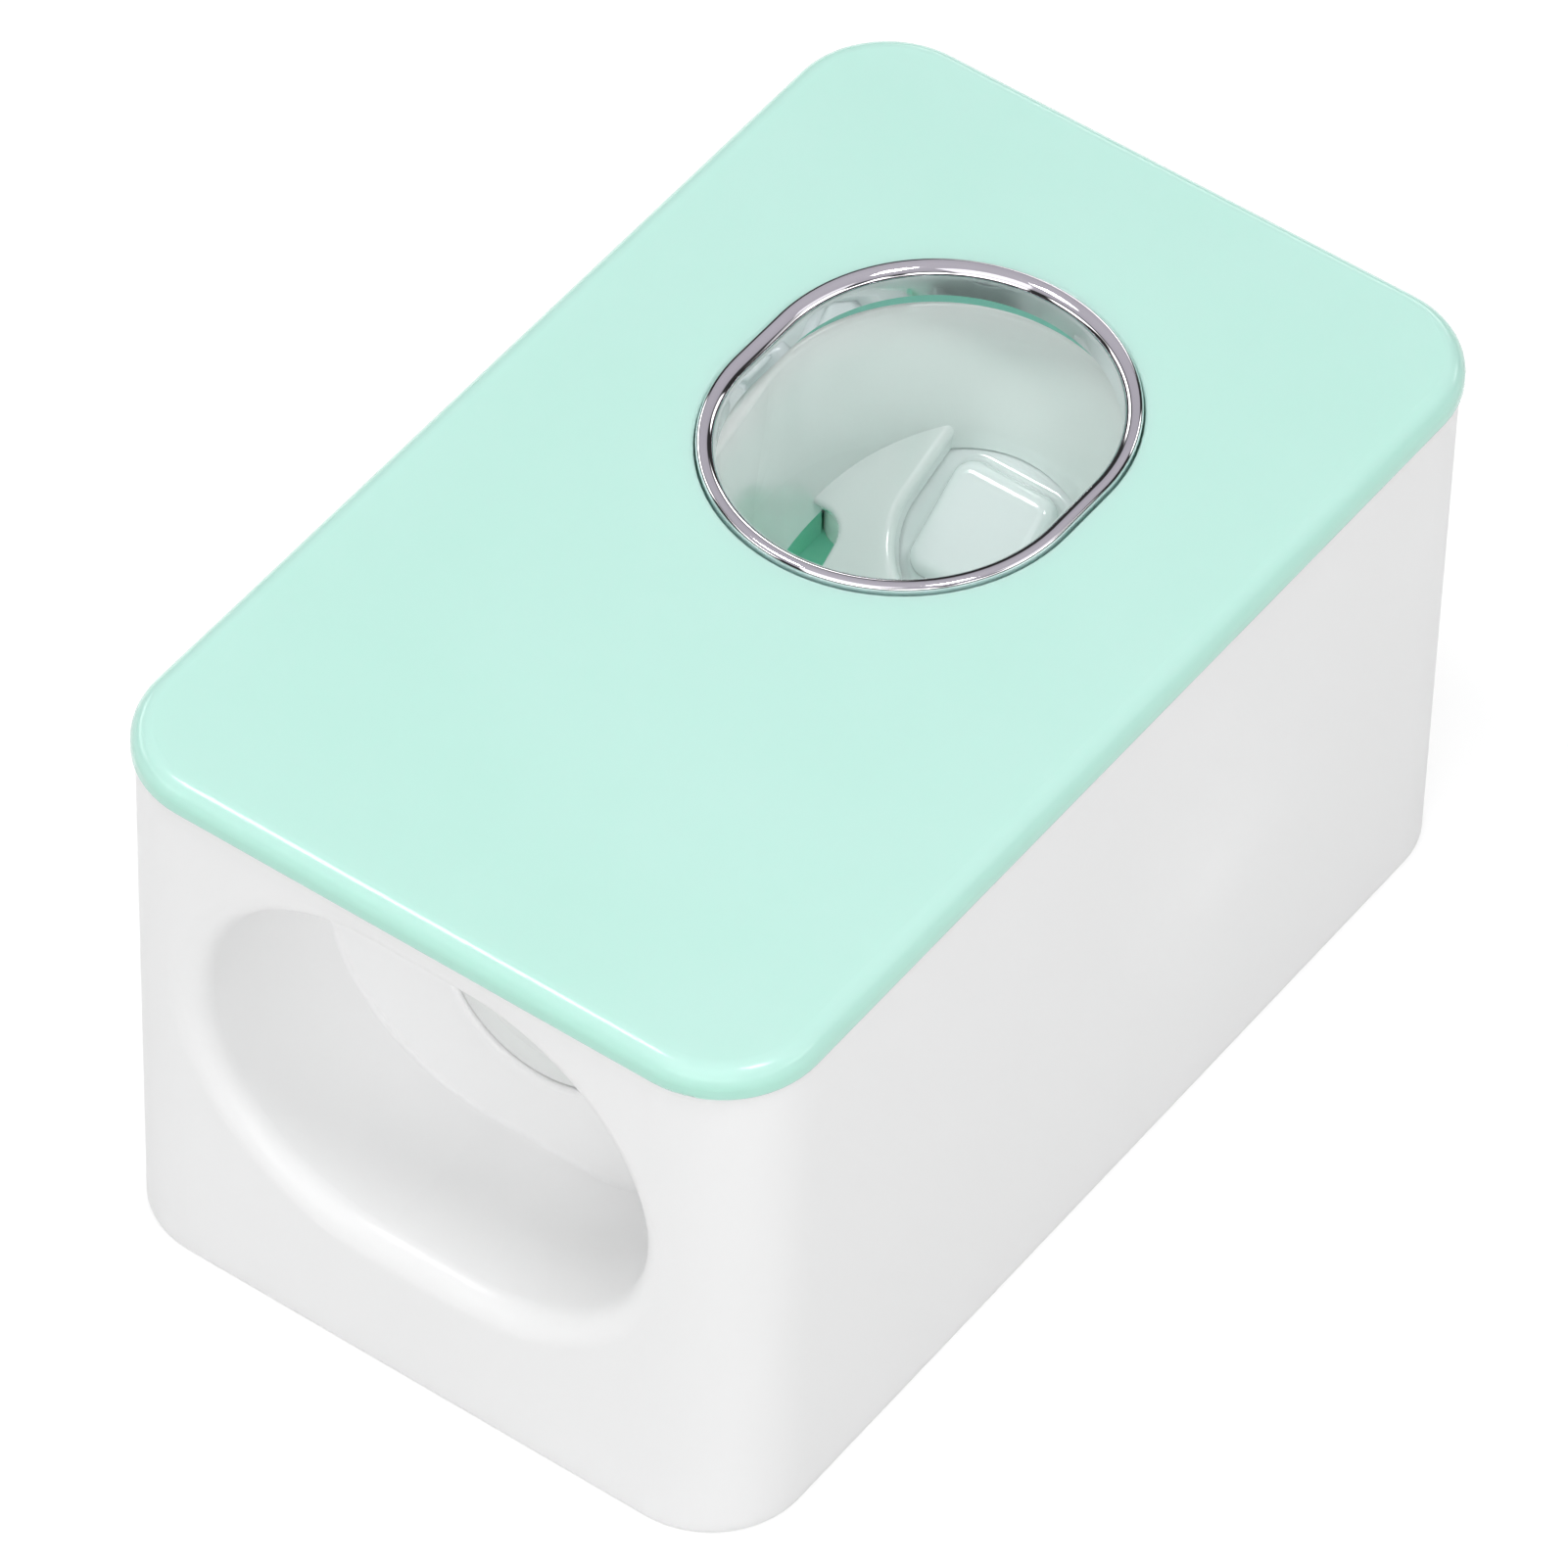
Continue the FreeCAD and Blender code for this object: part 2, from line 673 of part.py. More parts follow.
def make_housing():
    body = new_body("housing")
    walls = level_sketch(body, "0")
    rounded_box(walls, "housing_half_x", "housing_half_y", "housing_radius")
    rounded_box(walls, "inner_half_x", "inner_half_y", "inner_radius")
    pad(body, walls, "housing_height")

    cup = cross_sketch(body, "floor_back_y")
    stadium(cup, "recess_half_height + recess_wall", "recess_half_width + recess_wall",
            y="tube_axis_height", upright=False)
    pad(body, cup, "recess_depth + recess_floor - shell_wall / 2")
    collar = cross_sketch(body, "collar_end_y")
    circle(collar, "0", "tube_axis_height", "socket_radius + collar_wall")
    pad(body, collar, "collar_length + recess_floor / 2")

    for x in ("screw_x", "-screw_x"):
        for y, height, length in (
                ("screw_y", "rear_thickness", "plate_bottom - rear_thickness"),
                ("-screw_y", "rear_thickness", "near_column_length"),
                ("side_post_y", "plate_bottom - side_post_length", "side_post_length")):
            place = x.replace("screw_x", "side_post_x") if y == "side_post_y" else x
            radius = "post_radius" if y == "side_post_y" else "corner_column_radius"
            column = level_sketch(body, height)
            circle(column, place, y, radius)
            pad(body, column, length)

    mouth = cross_sketch(body, "-housing_half_y")
    stadium(mouth, "recess_half_height", "recess_half_width", y="tube_axis_height", upright=False)
    floor = cross_sketch(body, "recess_floor_y")
    stadium(floor, "recess_half_height - recess_taper", "recess_half_width - recess_taper",
            y="tube_axis_height", upright=False)
    loft(body, "Subtractive", mouth, floor)
    socket = cross_sketch(body, "recess_floor_y")
    circle(socket, "0", "tube_axis_height", "socket_radius")
    pocket(body, socket, "ledge_y - recess_floor_y")
    ledge = cross_sketch(body, "ledge_y")
    circle(ledge, "0", "tube_axis_height", "ledge_radius")
    pocket(body, ledge, "ledge_thickness")

    for x in ("screw_x", "-screw_x"):
        for y in ("screw_y", "-screw_y"):
            pilot = level_sketch(body, "rear_thickness")
            circle(pilot, x, y, "pilot_radius")
            pocket(body, pilot, "pilot_depth", back=True)
    for x, y in (("screw_x", "screw_y"), ("side_post_x", "side_post_y")):
        for side in ("", "-"):
            pilot = level_sketch(body, "plate_bottom")
            circle(pilot, side + x, y, "pilot_radius")
            pocket(body, pilot, "pilot_depth")

    roof = number("housing_height")
    fillet(body, "recess_lip_radius", lambda edge: across_at(edge, "-housing_half_y")
           and edge.BoundBox.ZMin > 1 and edge.BoundBox.ZMax < roof - 1)
    fillet(body, "socket_edge_radius", lambda edge: across_at(edge, "recess_floor_y")
           and within(edge, "socket_radius + 1"))
    return body


def make_front_cover():
    body = new_body("front_cover")
    panel = level_sketch(body, "housing_height")
    rounded_box(panel, "overall_width / 2", "overall_length / 2", "cover_corner_radius")
    pad(body, panel, "cover_rim_height")
    fillet(body, "cover_edge_radius", lambda edge: at_level(edge, "overall_height"))
    fillet(body, "cover_lower_edge_radius", lambda edge: at_level(edge, "housing_height"))

    hollow = level_sketch(body, "housing_height")
    rounded_box(hollow, "inner_half_x - lip_clearance - lip_thickness",
                "inner_half_y - lip_clearance - lip_thickness",
                "inner_radius - lip_clearance - lip_thickness")
    pocket(body, hollow, "cover_rim_height - cover_top_thickness", back=True)

    lips = level_sketch(body, "housing_height")
    outer_x, outer_y = "inner_half_x - lip_clearance", "inner_half_y - lip_clearance"
    for side in ("", "-"):
        rectangle(lips, f"{side}({outer_x} - lip_thickness)", "-lip_side_length / 2",
                  f"{side}({outer_x})", "lip_side_length / 2")
        rectangle(lips, f"{side}lip_corner_start", f"-({outer_y})",
                  f"{side}(lip_corner_start + lip_corner_length)", f"-({outer_y}) + lip_thickness")
    rectangle(lips, "-lip_end_length / 2", f"{outer_y} - lip_thickness", "lip_end_length / 2", outer_y)
    pad(body, lips, "lip_depth", back=True)

    hole = level_sketch(body, "overall_height")
    stadium(hole, "opening_half_width + ring_sleeve_wall + ring_clearance",
            "opening_half_length + ring_sleeve_wall + ring_clearance", y="opening_y")
    pocket(body, hole, "cover_rim_height")
    seat = level_sketch(body, "overall_height")
    stadium(seat, "opening_half_width + ring_lip_width + ring_clearance",
            "opening_half_length + ring_lip_width + ring_clearance", y="opening_y")
    pocket(body, seat, "ring_lip_depth")
    fillet(body, "opening_edge_radius", lambda edge: at_level(edge, "overall_height")
           and within(edge, "opening_half_width + ring_lip_width + 1"))
    return body


def make_trim_ring():
    body = new_body("trim_ring")
    lip = level_sketch(body, "ring_seat")
    stadium(lip, "opening_half_width + ring_lip_width", "opening_half_length + ring_lip_width",
            y="opening_y")
    pad(body, lip, "ring_top - ring_seat")
    sleeve = level_sketch(body, "ring_bottom")
    stadium(sleeve, "opening_half_width + ring_sleeve_wall",
            "opening_half_length + ring_sleeve_wall", y="opening_y")
    pad(body, sleeve, "ring_seat - ring_bottom")
    top = level_sketch(body, "ring_top")
    stadium(top, "opening_half_width", "opening_half_length", y="opening_y")
    bottom = level_sketch(body, "ring_bottom")
    stadium(bottom, "opening_half_width - ring_taper", "opening_half_length - ring_taper",
            y="opening_y")
    loft(body, "Subtractive", top, bottom)
    fillet(body, "ring_edge_radius", lambda edge: at_level(edge, "ring_top"))
    return body


def below_deck(body, lift, foot):
    """Cut off what lies under a plane parallel to the deck, down from where it meets foot."""
    cut = side_sketch(body)
    far = "overall_length"
    edge_z = f"ramp_z + ({lift}) / cos(ramp_angle * 1 deg)"
    meet = f"ramp_y + ({foot} - ({edge_z})) / ramp_slope"
    polygon(cut, [(meet, foot), (far, f"{edge_z} + ({far} - ramp_y) * ramp_slope"),
                  (far, "-overall_height"), (meet, "-overall_height")])
    pocket(body, cut, "2 * overall_width", both=True)


def bowl_rim(body, height, wall):
    """The bowl's outline at its rim, grown outward by a wall."""
    sketch = level_sketch(body, height)
    egg(sketch, f"bowl_far_radius + {wall}", "opening_y + bowl_far_offset",
        f"bowl_near_radius + {wall}", "opening_y - bowl_near_offset")
    return sketch


def bowl_well(body, height, wall):
    """The bowl's outline under its funnel, grown outward by a wall."""
    sketch = level_sketch(body, height)
    egg(sketch, f"well_far_radius + {wall}", "opening_y + well_far_offset",
        f"well_near_radius + {wall}", "opening_y - well_near_offset")
    return sketch


def stack_bowl(body, wall, floor):
    """An upright rim, a funnel and an upright well, down to a floor."""
    pad(body, bowl_rim(body, "plate_bottom", wall), "rim_top - plate_bottom")
    loft(body, "Additive", bowl_rim(body, "plate_bottom", wall), bowl_well(body, "funnel_bottom", wall))
    pad(body, bowl_well(body, "funnel_bottom", wall), f"funnel_bottom - ({floor})", back=True)


def combine(body, kind, other):
    feature = body.newObject("PartDesign::Boolean", "combined")
    feature.setObjects([other])
    feature.Type = kind
    body.Tip = feature
    doc.recompute()
    return feature


def make_bowl_block(label, wall, floor):
    body = new_body(label)
    stack_bowl(body, wall, floor)
    return body


def bowl_between(body, share):
    """The cavity's outline part of the way up the funnel, eased at both of its ends."""
    ease = f"({share} ^ 2 * (3 - 2 * {share}))"
    sketch = level_sketch(body, f"funnel_curve_bottom + funnel_curve_height * {share}")
    egg(sketch, f"well_far_radius + (bowl_far_radius - well_far_radius) * {ease}",
        f"opening_y + well_far_offset + (bowl_far_offset - well_far_offset) * {ease}",
        f"well_near_radius + (bowl_near_radius - well_near_radius) * {ease}",
        f"opening_y - well_near_offset - (bowl_near_offset - well_near_offset) * {ease}")
    return sketch


def make_chamber_cavity():
    """The space in the bowl: an upright rim, a funnel that curves in and out again, and the well."""
    body = new_body("chamber_cavity")
    pad(body, bowl_rim(body, "funnel_curve_top", "0"), "rim_top - funnel_curve_top")
    outlines = [bowl_between(body, share) for share in FUNNEL_SHARES]
    loft(body, "Additive", outlines[0], *outlines[1:], ruled=False)
    pad(body, bowl_well(body, "funnel_curve_bottom", "0"), "funnel_curve_bottom - chamber_floor_height",
        back=True)
    return body


def make_chamber_deck(floor):
    """The sloping deck out to the middle of the bowl's wall, with its trough and windows."""
    body = new_body("chamber_deck")
    slab = ramp_sketch(body, "-ramp_thickness")
    rectangle(slab, "-overall_width / 2", "-overall_length / 2", "overall_width / 2", "overall_length / 2")
    pad(body, slab, "ramp_thickness")
    trough = ramp_sketch(body, "0")
    egg(trough, "trough_top_radius", "trough_top", "trough_radius", "-trough_reach")
    pocket(body, trough, "ramp_thickness")
    for side in ("", "-"):
        window = ramp_sketch(body, "0")
        rounded_box(window, "window_width / 2", "window_length / 2", "window_corner_radius",
                    x=f"{side}(window_inner + window_width / 2)",
                    y="-window_top - window_length / 2")
        pocket(body, window, "ramp_thickness")
    fillet(body, "window_lip_radius", lambda edge: on_deck(edge)
           and within(edge, "window_inner + window_width + deck_gap")
           and not within(edge, "trough_radius + deck_gap"))
    fillet(body, "trough_lip_radius", lambda edge: on_deck(edge)
           and within(edge, "trough_radius + deck_gap"))
    combine(body, "Common", make_bowl_block("chamber_outline", "bowl_wall / 2", floor))
    return body


def make_brush_chamber():
    floor = "(chamber_floor_height - chamber_floor_wall)"
    cavity = make_chamber_cavity()
    deck = make_chamber_deck(floor)
    body = new_body("brush_chamber")
    stack_bowl(body, "bowl_wall", floor)
    below_deck(body, "-ramp_thickness", floor)
    plate = level_sketch(body, "plate_bottom")
    edge_x, edge_y = "inner_half_x - plate_clearance", "inner_half_y - plate_clearance"
    rounded_box(plate, edge_x, f"({edge_y} - plate_near_y) / 2", "inner_radius - plate_clearance",
                y=f"({edge_y} + plate_near_y) / 2")
    pad(body, plate, "plate_thickness")
    boss = cross_sketch(body, "boss_back_y")
    circle(boss, "0", "tube_axis_height", "boss_radius")
    pad(body, boss, "bowl_wall + boss_back", back=True)
    combine(body, "Cut", cavity)
    combine(body, "Fuse", deck)
    inner_boss = cross_sketch(body, "boss_face_y")
    circle(inner_boss, "0", "tube_axis_height", "boss_radius")
    pad(body, inner_boss, "boss_depth + bowl_wall")
    hole = cross_sketch(body, "boss_back_y")
    circle(hole, "0", "tube_axis_height", "nozzle_radius + nozzle_clearance")
    pocket(body, hole, "boss_back + boss_depth")
    for x, y in (("screw_x", "screw_y"), ("side_post_x", "side_post_y")):
        for side in ("", "-"):
            screw_hole = level_sketch(body, "plate_top")
            circle(screw_hole, side + x, y, "screw_hole_radius")
            pocket(body, screw_hole, "plate_thickness")

    middle_y = number("chamber_near_y - bowl_wall / 2")

    def inner_rim(edge):
        return within(edge, "bowl_far_radius + bowl_wall / 2") and edge.BoundBox.YMin > middle_y

    fillet(body, "rim_outer_radius", lambda edge: at_level(edge, "rim_top") and not inner_rim(edge))
    fillet(body, "rim_inner_radius", lambda edge: at_level(edge, "rim_top") and inner_rim(edge))
    return body


def make_rear_cover():
    body = new_body("rear_cover")
    panel = level_sketch(body, "0")
    rounded_box(panel, "inner_half_x - rear_clearance", "inner_half_y - rear_clearance",
                "inner_radius - rear_clearance")
    pad(body, panel, "rear_thickness")

    lip = level_sketch(body, "rear_thickness")
    for inset in ("rear_lip_inset", "rear_lip_inset + rear_lip_thickness"):
        rounded_box(lip, f"inner_half_x - ({inset})", f"inner_half_y - ({inset})",
                    f"inner_radius - ({inset})")
    pad(body, lip, "rear_lip_height")
    for x in ("screw_x", "-screw_x"):
        for y in ("screw_y", "-screw_y"):
            relief = level_sketch(body, "rear_thickness")
            circle(relief, x, y, "corner_column_radius + column_clearance")
            pocket(body, relief, "rear_lip_height", back=True)
            head = level_sketch(body, "0")
            circle(head, x, y, "head_radius + head_clearance")
            pocket(body, head, "head_sink", back=True)
            hole = level_sketch(body, "0")
            circle(hole, x, y, "screw_hole_radius")
            pocket(body, hole, "rear_thickness", back=True)

    for side in ("", "-"):
        post = level_sketch(body, "rear_thickness / 2")
        circle(post, f"{side}lug_reach", "pump_y", "post_radius")
        pad(body, post, "pump_base - rear_thickness / 2")
        pilot = level_sketch(body, "pump_base")
        circle(pilot, f"{side}lug_reach", "pump_y", "pilot_radius")
        pocket(body, pilot, "pilot_depth")

    for x in ("ear_inner", "-ear_outer"):
        ear = side_sketch(body, x)
        arch(ear, "pivot_y", "pivot_height", "ear_radius", "ear_foot_half", "rear_thickness / 2")
        pad(body, ear, "ear_thickness")
    bearing = side_sketch(body)
    circle(bearing, "pivot_y", "pivot_height", "pin_radius + running_clearance")
    pocket(body, bearing, "3 * ear_outer", both=True)
    return body


# Pump and its valves


def make_pump_body():
    body = new_body("pump_body")
    turned_on_pump(body, [("pump_base", "0"), ("pump_base", "pump_radius"),
                          ("pump_top", "pump_radius"), ("pump_top", "0")])
    lugs = level_sketch(body, "pump_base")
    stadium(lugs, "lug_half_width", "lug_reach + lug_half_width", y="pump_y", upright=False)
    pad(body, lugs, "lug_thickness")
    turned_on_flow(body, [
        ("collar_end_y", "0"),
        ("collar_end_y", "inlet_flange_radius"),
        ("collar_end_y + inlet_flange_thickness", "inlet_flange_radius"),
        ("collar_end_y + inlet_flange_thickness", "inlet_tube_radius"),
        ("pump_y", "inlet_tube_radius"),
        ("pump_y", "outlet_tube_radius"),
        ("outlet_end_y", "outlet_tube_radius"),
        ("outlet_end_y", "0"),
    ])
    bore = level_sketch(body, "pump_base")
    circle(bore, "0", "pump_y", "pump_bore")
    pocket(body, bore, "pump_top - pump_top_wall - pump_base", back=True)
    port = cross_sketch(body, "collar_end_y")
    circle(port, "0", "tube_axis_height", "inlet_port_radius")
    pocket(body, port, "inlet_length")
    valve_pocket = cross_sketch(body, "collar_end_y")
    circle(valve_pocket, "0", "tube_axis_height", "ledge_radius")
    pocket(body, valve_pocket, "valve_pocket_y - collar_end_y")
    outlet = cross_sketch(body, "outlet_end_y")
    circle(outlet, "0", "tube_axis_height", "outlet_port_radius")
    pocket(body, outlet, "outlet_end_y - pump_y", back=True)
    outlet_socket = cross_sketch(body, "outlet_end_y")
    circle(outlet_socket, "0", "tube_axis_height", "nozzle_radius + nozzle_clearance")
    pocket(body, outlet_socket, "outlet_socket_depth", back=True)
    for side in ("", "-"):
        hole = level_sketch(body, "pump_base")
        circle(hole, f"{side}lug_reach", "pump_y", "screw_hole_radius")
        pocket(body, hole, "lug_thickness", back=True)
    return body


def make_cylinder_cap():
    body = new_body("cylinder_cap")
    hole = "rod_radius + running_clearance"
    turned_on_pump(body, [
        ("cap_bottom", hole),
        ("cap_bottom", "pump_radius - cap_margin"),
        ("pump_base", "pump_radius - cap_margin"),
        ("pump_base", "cup_radius"),
        ("pump_base + cap_spigot", "cup_radius"),
        ("pump_base + cap_spigot", hole),
    ])
    return body


def make_plunger():
    body = new_body("plunger")
    stem_top = "piston_top + cup_base_thickness"
    turned_on_pump(body, [
        ("foot_bottom", "0"),
        ("foot_bottom", "foot_radius"),
        ("foot_top", "foot_radius"),
        ("foot_top", "rod_radius"),
        ("piston_bottom", "rod_radius"),
        ("piston_bottom", "piston_head_radius"),
        ("piston_top", "piston_head_radius"),
        ("piston_top", "rod_radius"),
        (stem_top, "rod_radius"),
        (stem_top, "button_radius"),
        (f"{stem_top} + button_thickness", "button_radius"),
        (f"{stem_top} + button_thickness", "0"),
    ])
    return body


def make_piston_cup():
    body = new_body("piston_cup")
    base_top = "piston_top + cup_base_thickness"
    skirt_top = f"{base_top} + cup_skirt_height"
    hole = "rod_radius + cup_clearance"
    turned_on_pump(body, [
        ("piston_top", hole),
        ("piston_top", "piston_head_radius"),
        (base_top, "piston_head_radius"),
        (skirt_top, "cup_radius"),
        (skirt_top, "cup_radius - cup_skirt_wall"),
        (base_top, "piston_head_radius - 2 * cup_skirt_wall"),
        (base_top, hole),
    ])
    return body


def arc_edge(start, heading, end):
    """The arc that leaves start along heading and reaches end."""
    chord = end - start
    along = Vector(chord).normalize()
    half = chord.Length / 2
    bend = heading.getAngle(along)
    outward = Vector(heading - along * heading.dot(along)).normalize()
    middle = (start + end) * 0.5 + outward * half * math.tan(bend / 2)
    return Part.Arc(start, middle, end).toShape()


def helix_edges(axis, low, high, radius, turns):
    """A helix as pairs of tangent arcs, four pairs to a turn."""
    spans = round(turns * 4)
    rise = (high - low) / (2 * math.pi * turns)

    def point(angle):
        return axis + Vector(radius * math.cos(angle), radius * math.sin(angle), low + rise * angle)

    def heading(angle):
        return Vector(-radius * math.sin(angle), radius * math.cos(angle), rise).normalize()

    edges = []
    for span in range(spans):
        first, last = span * math.pi / 2, (span + 1) * math.pi / 2
        start, end, leave, arrive = point(first), point(last), heading(first), heading(last)
        chord, both = end - start, leave + arrive
        spread = 2 * (1 - leave.dot(arrive))
        reach = (math.sqrt(chord.dot(both) ** 2 + spread * chord.dot(chord)) - chord.dot(both)) / spread
        middle = (start + end + (leave - arrive) * reach) * 0.5
        tangent = Vector(end - arrive * reach - start - leave * reach).normalize()
        edges += [arc_edge(start, leave, middle), arc_edge(middle, tangent, end)]
    return edges


def make_return_spring():
    """Round wire wound about the plunger's rod, between the foot and the cylinder cap."""
    wire = number("spring_wire_radius")
    radius = number("spring_mean_radius")
    turns = number("spring_turns")
    low = number("foot_top + spring_seat_gap") + wire
    high = number("cap_bottom - spring_seat_gap") - wire
    axis = Vector(0, number("pump_y"), 0)
    path = Part.Wire(helix_edges(axis, low, high, radius, turns))
    first = path.Edges[0]
    section = Part.Wire(Part.Circle(first.valueAt(first.FirstParameter),
                                    first.tangentAt(first.FirstParameter), wire).toShape())
    body = doc.addObject("Part::Feature", "return_spring")
    body.Label = "return_spring"
    body.Shape = path.makePipeShell([section], True, False)
    gap = (high - low) / turns - 2 * wire
    print(f"return spring: least gap between turns {gap:.2f} mm")
    return body


def make_inlet_seal():
    body = new_body("inlet_seal")
    outer = "socket_radius - seal_clearance"
    spigot = "ledge_radius - seal_clearance"
    turned_on_flow(body, [
        ("seal_face_y", "neck_radius + neck_lead_in"),
        ("seal_face_y", outer),
        ("ledge_y", outer),
        ("ledge_y", spigot),
        ("seal_end_y", spigot),
        ("seal_end_y", "seat_radius"),
        ("seal_face_y + neck_length", "seat_radius"),
        ("seal_face_y + neck_length", "neck_radius"),
        ("seal_face_y + neck_lead_in", "neck_radius"),
    ])
    return body


def make_inlet_valve():
    """A disc with a flap cut free round most of its rim."""
    body = new_body("inlet_valve")
    turned_on_flow(body, [("valve_y", "0"), ("valve_y", "ledge_radius - seal_clearance"),
                          ("valve_pocket_y", "ledge_radius - seal_clearance"),
                          ("valve_pocket_y", "0")])
    slit = cross_sketch(body, "valve_y")
    half = "flap_hinge_width / 2"
    inner, outer = "flap_radius", "flap_radius + flap_slit"
    lean_in = math.degrees(math.asin(number(f"{half} / ({inner})")))
    lean_out = math.degrees(math.asin(number(f"{half} / ({outer})")))
    low = arc(slit, "0", "tube_axis_height", inner, 90 + lean_in, 450 - lean_in)
    high = arc(slit, "0", "tube_axis_height", outer, 90 + lean_out, 450 - lean_out)
    for end, side in ((1, "-"), (2, "")):
        closing = line(slit, slit.getPoint(low, end), slit.getPoint(high, end))
        slit.addConstraint(Sketcher.Constraint("Coincident", closing, 1, low, end))
        slit.addConstraint(Sketcher.Constraint("Coincident", closing, 2, high, end))
        for item in (low, high):
            dimension(slit, f"{side}{half}", "DistanceX", -1, 1, item, end)
    pocket(body, slit, "valve_thickness")
    return body


def make_outlet_valve():
    """A duckbill: a flange, a round throat that flattens to two lips, and the slit between them."""
    body = new_body("outlet_valve")
    flange_y = "outlet_socket_y + bill_flange_thickness"
    turned_on_flow(body, [("outlet_socket_y", "0"), ("outlet_socket_y", "nozzle_radius - nozzle_clearance"),
                          (flange_y, "nozzle_radius - nozzle_clearance"), (flange_y, "0")])
    for kind, wall, start, end in (
            ("Additive", "0", flange_y, "bill_tip_y"),
            ("Subtractive", "bill_wall", "outlet_socket_y", "bill_tip_y")):
        throat = cross_sketch(body, start)
        stadium(throat, f"bill_radius - 2 * {wall}", f"bill_radius - {wall}",
                y="tube_axis_height", upright=False)
        lips = cross_sketch(body, end)
        thin = "bill_lip_half_width" if kind == "Additive" else "bill_slit / 2"
        stadium(lips, thin, f"bill_lip_half_length - {wall}", y="tube_axis_height", upright=False)
        loft(body, kind, throat, lips)
    return body


def make_nozzle():
    body = new_body("nozzle")
    flange_y = "boss_face_y + nozzle_flange_thickness"
    turned_on_flow(body, [
        ("nozzle_end_y", "nozzle_bore"),
        ("nozzle_end_y", "nozzle_radius"),
        ("boss_face_y", "nozzle_radius"),
        ("boss_face_y", "nozzle_flange_radius"),
        (flange_y, "nozzle_flange_radius"),
        (flange_y, "nozzle_radius"),
        ("nozzle_tip_y", "nozzle_tip_radius"),
        ("nozzle_tip_y", "nozzle_bore"),
    ])
    return body


# Lever, pin and stop


def make_push_lever():
    body = new_body("push_lever")
    hub = side_sketch(body)
    circle(hub, "pivot_y", "pivot_height", "hub_radius")
    pad(body, hub, "2 * hub_half_width", both=True)

    web = side_sketch(body)
    deck_foot = "-deck_lift - deck_thickness / 2"
    polygon(web, [
        ("pivot_y", "pivot_height - hub_radius + 0.4 * pin_radius"),
        ("knee_y", "knee_z"),
        ramp_point("-web_toe_reach", "-deck_lift - deck_thickness - web_toe_depth"),
        ramp_point("-deck_corner_radius / 2", deck_foot),
        ramp_point("-deck_bottom + deck_corner_radius", deck_foot),
        ("pivot_y", "pivot_height + hub_radius - 0.4 * pin_radius"),
    ])
    pad(body, web, "2 * web_half_width", both=True)

    arm = side_sketch(body)
    polygon(arm, [
        ("pivot_y", "pivot_height"),
        ("nose_y", "nose_z + arm_half_height"),
        ("nose_y", "nose_z - arm_half_height"),
        ("pivot_y", "pivot_height - 2 * arm_half_height"),
    ])
    pad(body, arm, "2 * arm_half_width", both=True)
    nose = side_sketch(body)
    circle(nose, "nose_y", "nose_z", "nose_radius")
    pad(body, nose, "2 * arm_half_width", both=True)

    deck = ramp_sketch(body, "-deck_lift")
    rounded_box(deck, "deck_half_width", "(deck_top + deck_bottom) / 2", "deck_corner_radius",
                y="(deck_top - deck_bottom) / 2")
    pad(body, deck, "deck_thickness", back=True)
    paddle = ramp_sketch(body, "-deck_lift - deck_thickness / 2")
    rounded_box(paddle, "paddle_half_width", "paddle_length / 2", "paddle_corner_radius",
                y="-paddle_length / 2")
    pad(body, paddle, "deck_lift + deck_thickness / 2")
    fillet(body, "paddle_edge_radius", on_deck)
    above_paddle, below_paddle = (number(ramp_point(along, "-deck_lift")[0]) for along in (
        "deck_top / 2", "-(paddle_length + deck_bottom) / 2"))
    fillet(body, "paddle_root_radius", lambda edge: on_deck(edge, "-deck_lift")
           and within(edge, "paddle_half_width + deck_gap")
           and edge.BoundBox.YMax < above_paddle and edge.BoundBox.YMin > below_paddle)

    bore = side_sketch(body)
    circle(bore, "pivot_y", "pivot_height", "pin_radius + running_clearance")
    pocket(body, bore, "3 * hub_half_width", both=True)
    return body


def make_lever_pin():
    body = new_body("lever_pin")
    groove_in, groove_out = "clip_inner", "clip_inner + clip_thickness + 2 * clip_clearance"
    turned_on_pivot(body, [
        ("-pin_half_length", "0"),
        ("-pin_half_length", "pin_radius"),
        (f"-({groove_out})", "pin_radius"),
        (f"-({groove_out})", "clip_groove_radius"),
        (f"-({groove_in})", "clip_groove_radius"),
        (f"-({groove_in})", "pin_radius"),
        (groove_in, "pin_radius"),
        (groove_in, "clip_groove_radius"),
        (groove_out, "clip_groove_radius"),
        (groove_out, "pin_radius"),
        ("pin_half_length", "pin_radius"),
        ("pin_half_length", "0"),
    ])
    return body


def make_pin_clips():
    """Two snap rings, open on the side away from the back face."""
    body = new_body("pin_clips")
    for x in ("clip_inner + clip_clearance", "-clip_inner - clip_clearance - clip_thickness"):
        ring = side_sketch(body, x)
        circle(ring, "pivot_y", "pivot_height", "clip_radius")
        circle(ring, "pivot_y", "pivot_height", "clip_groove_radius + clip_clearance")
        pad(body, ring, "clip_thickness")
        gap = side_sketch(body, x)
        rectangle(gap, "pivot_y - clip_opening / 2", "pivot_height",
                  "pivot_y + clip_opening / 2", "pivot_height + 2 * clip_radius")
        pocket(body, gap, "clip_thickness", back=True)
    return body


def make_stop_pad():
    """The rubber button that the lever lands on at the end of a full push."""
    body = new_body("stop_pad")
    button = level_sketch(body, "rear_thickness")
    circle(button, "0", "stop_y", "stop_radius")
    pad(body, button, "stop_height")
    return body


# Screws


def make_screws(label, places, head_side, shank_end):
    body = new_body(label)
    for x, y in places:
        screw_at(body, x, y, head_side, shank_end)
    return body


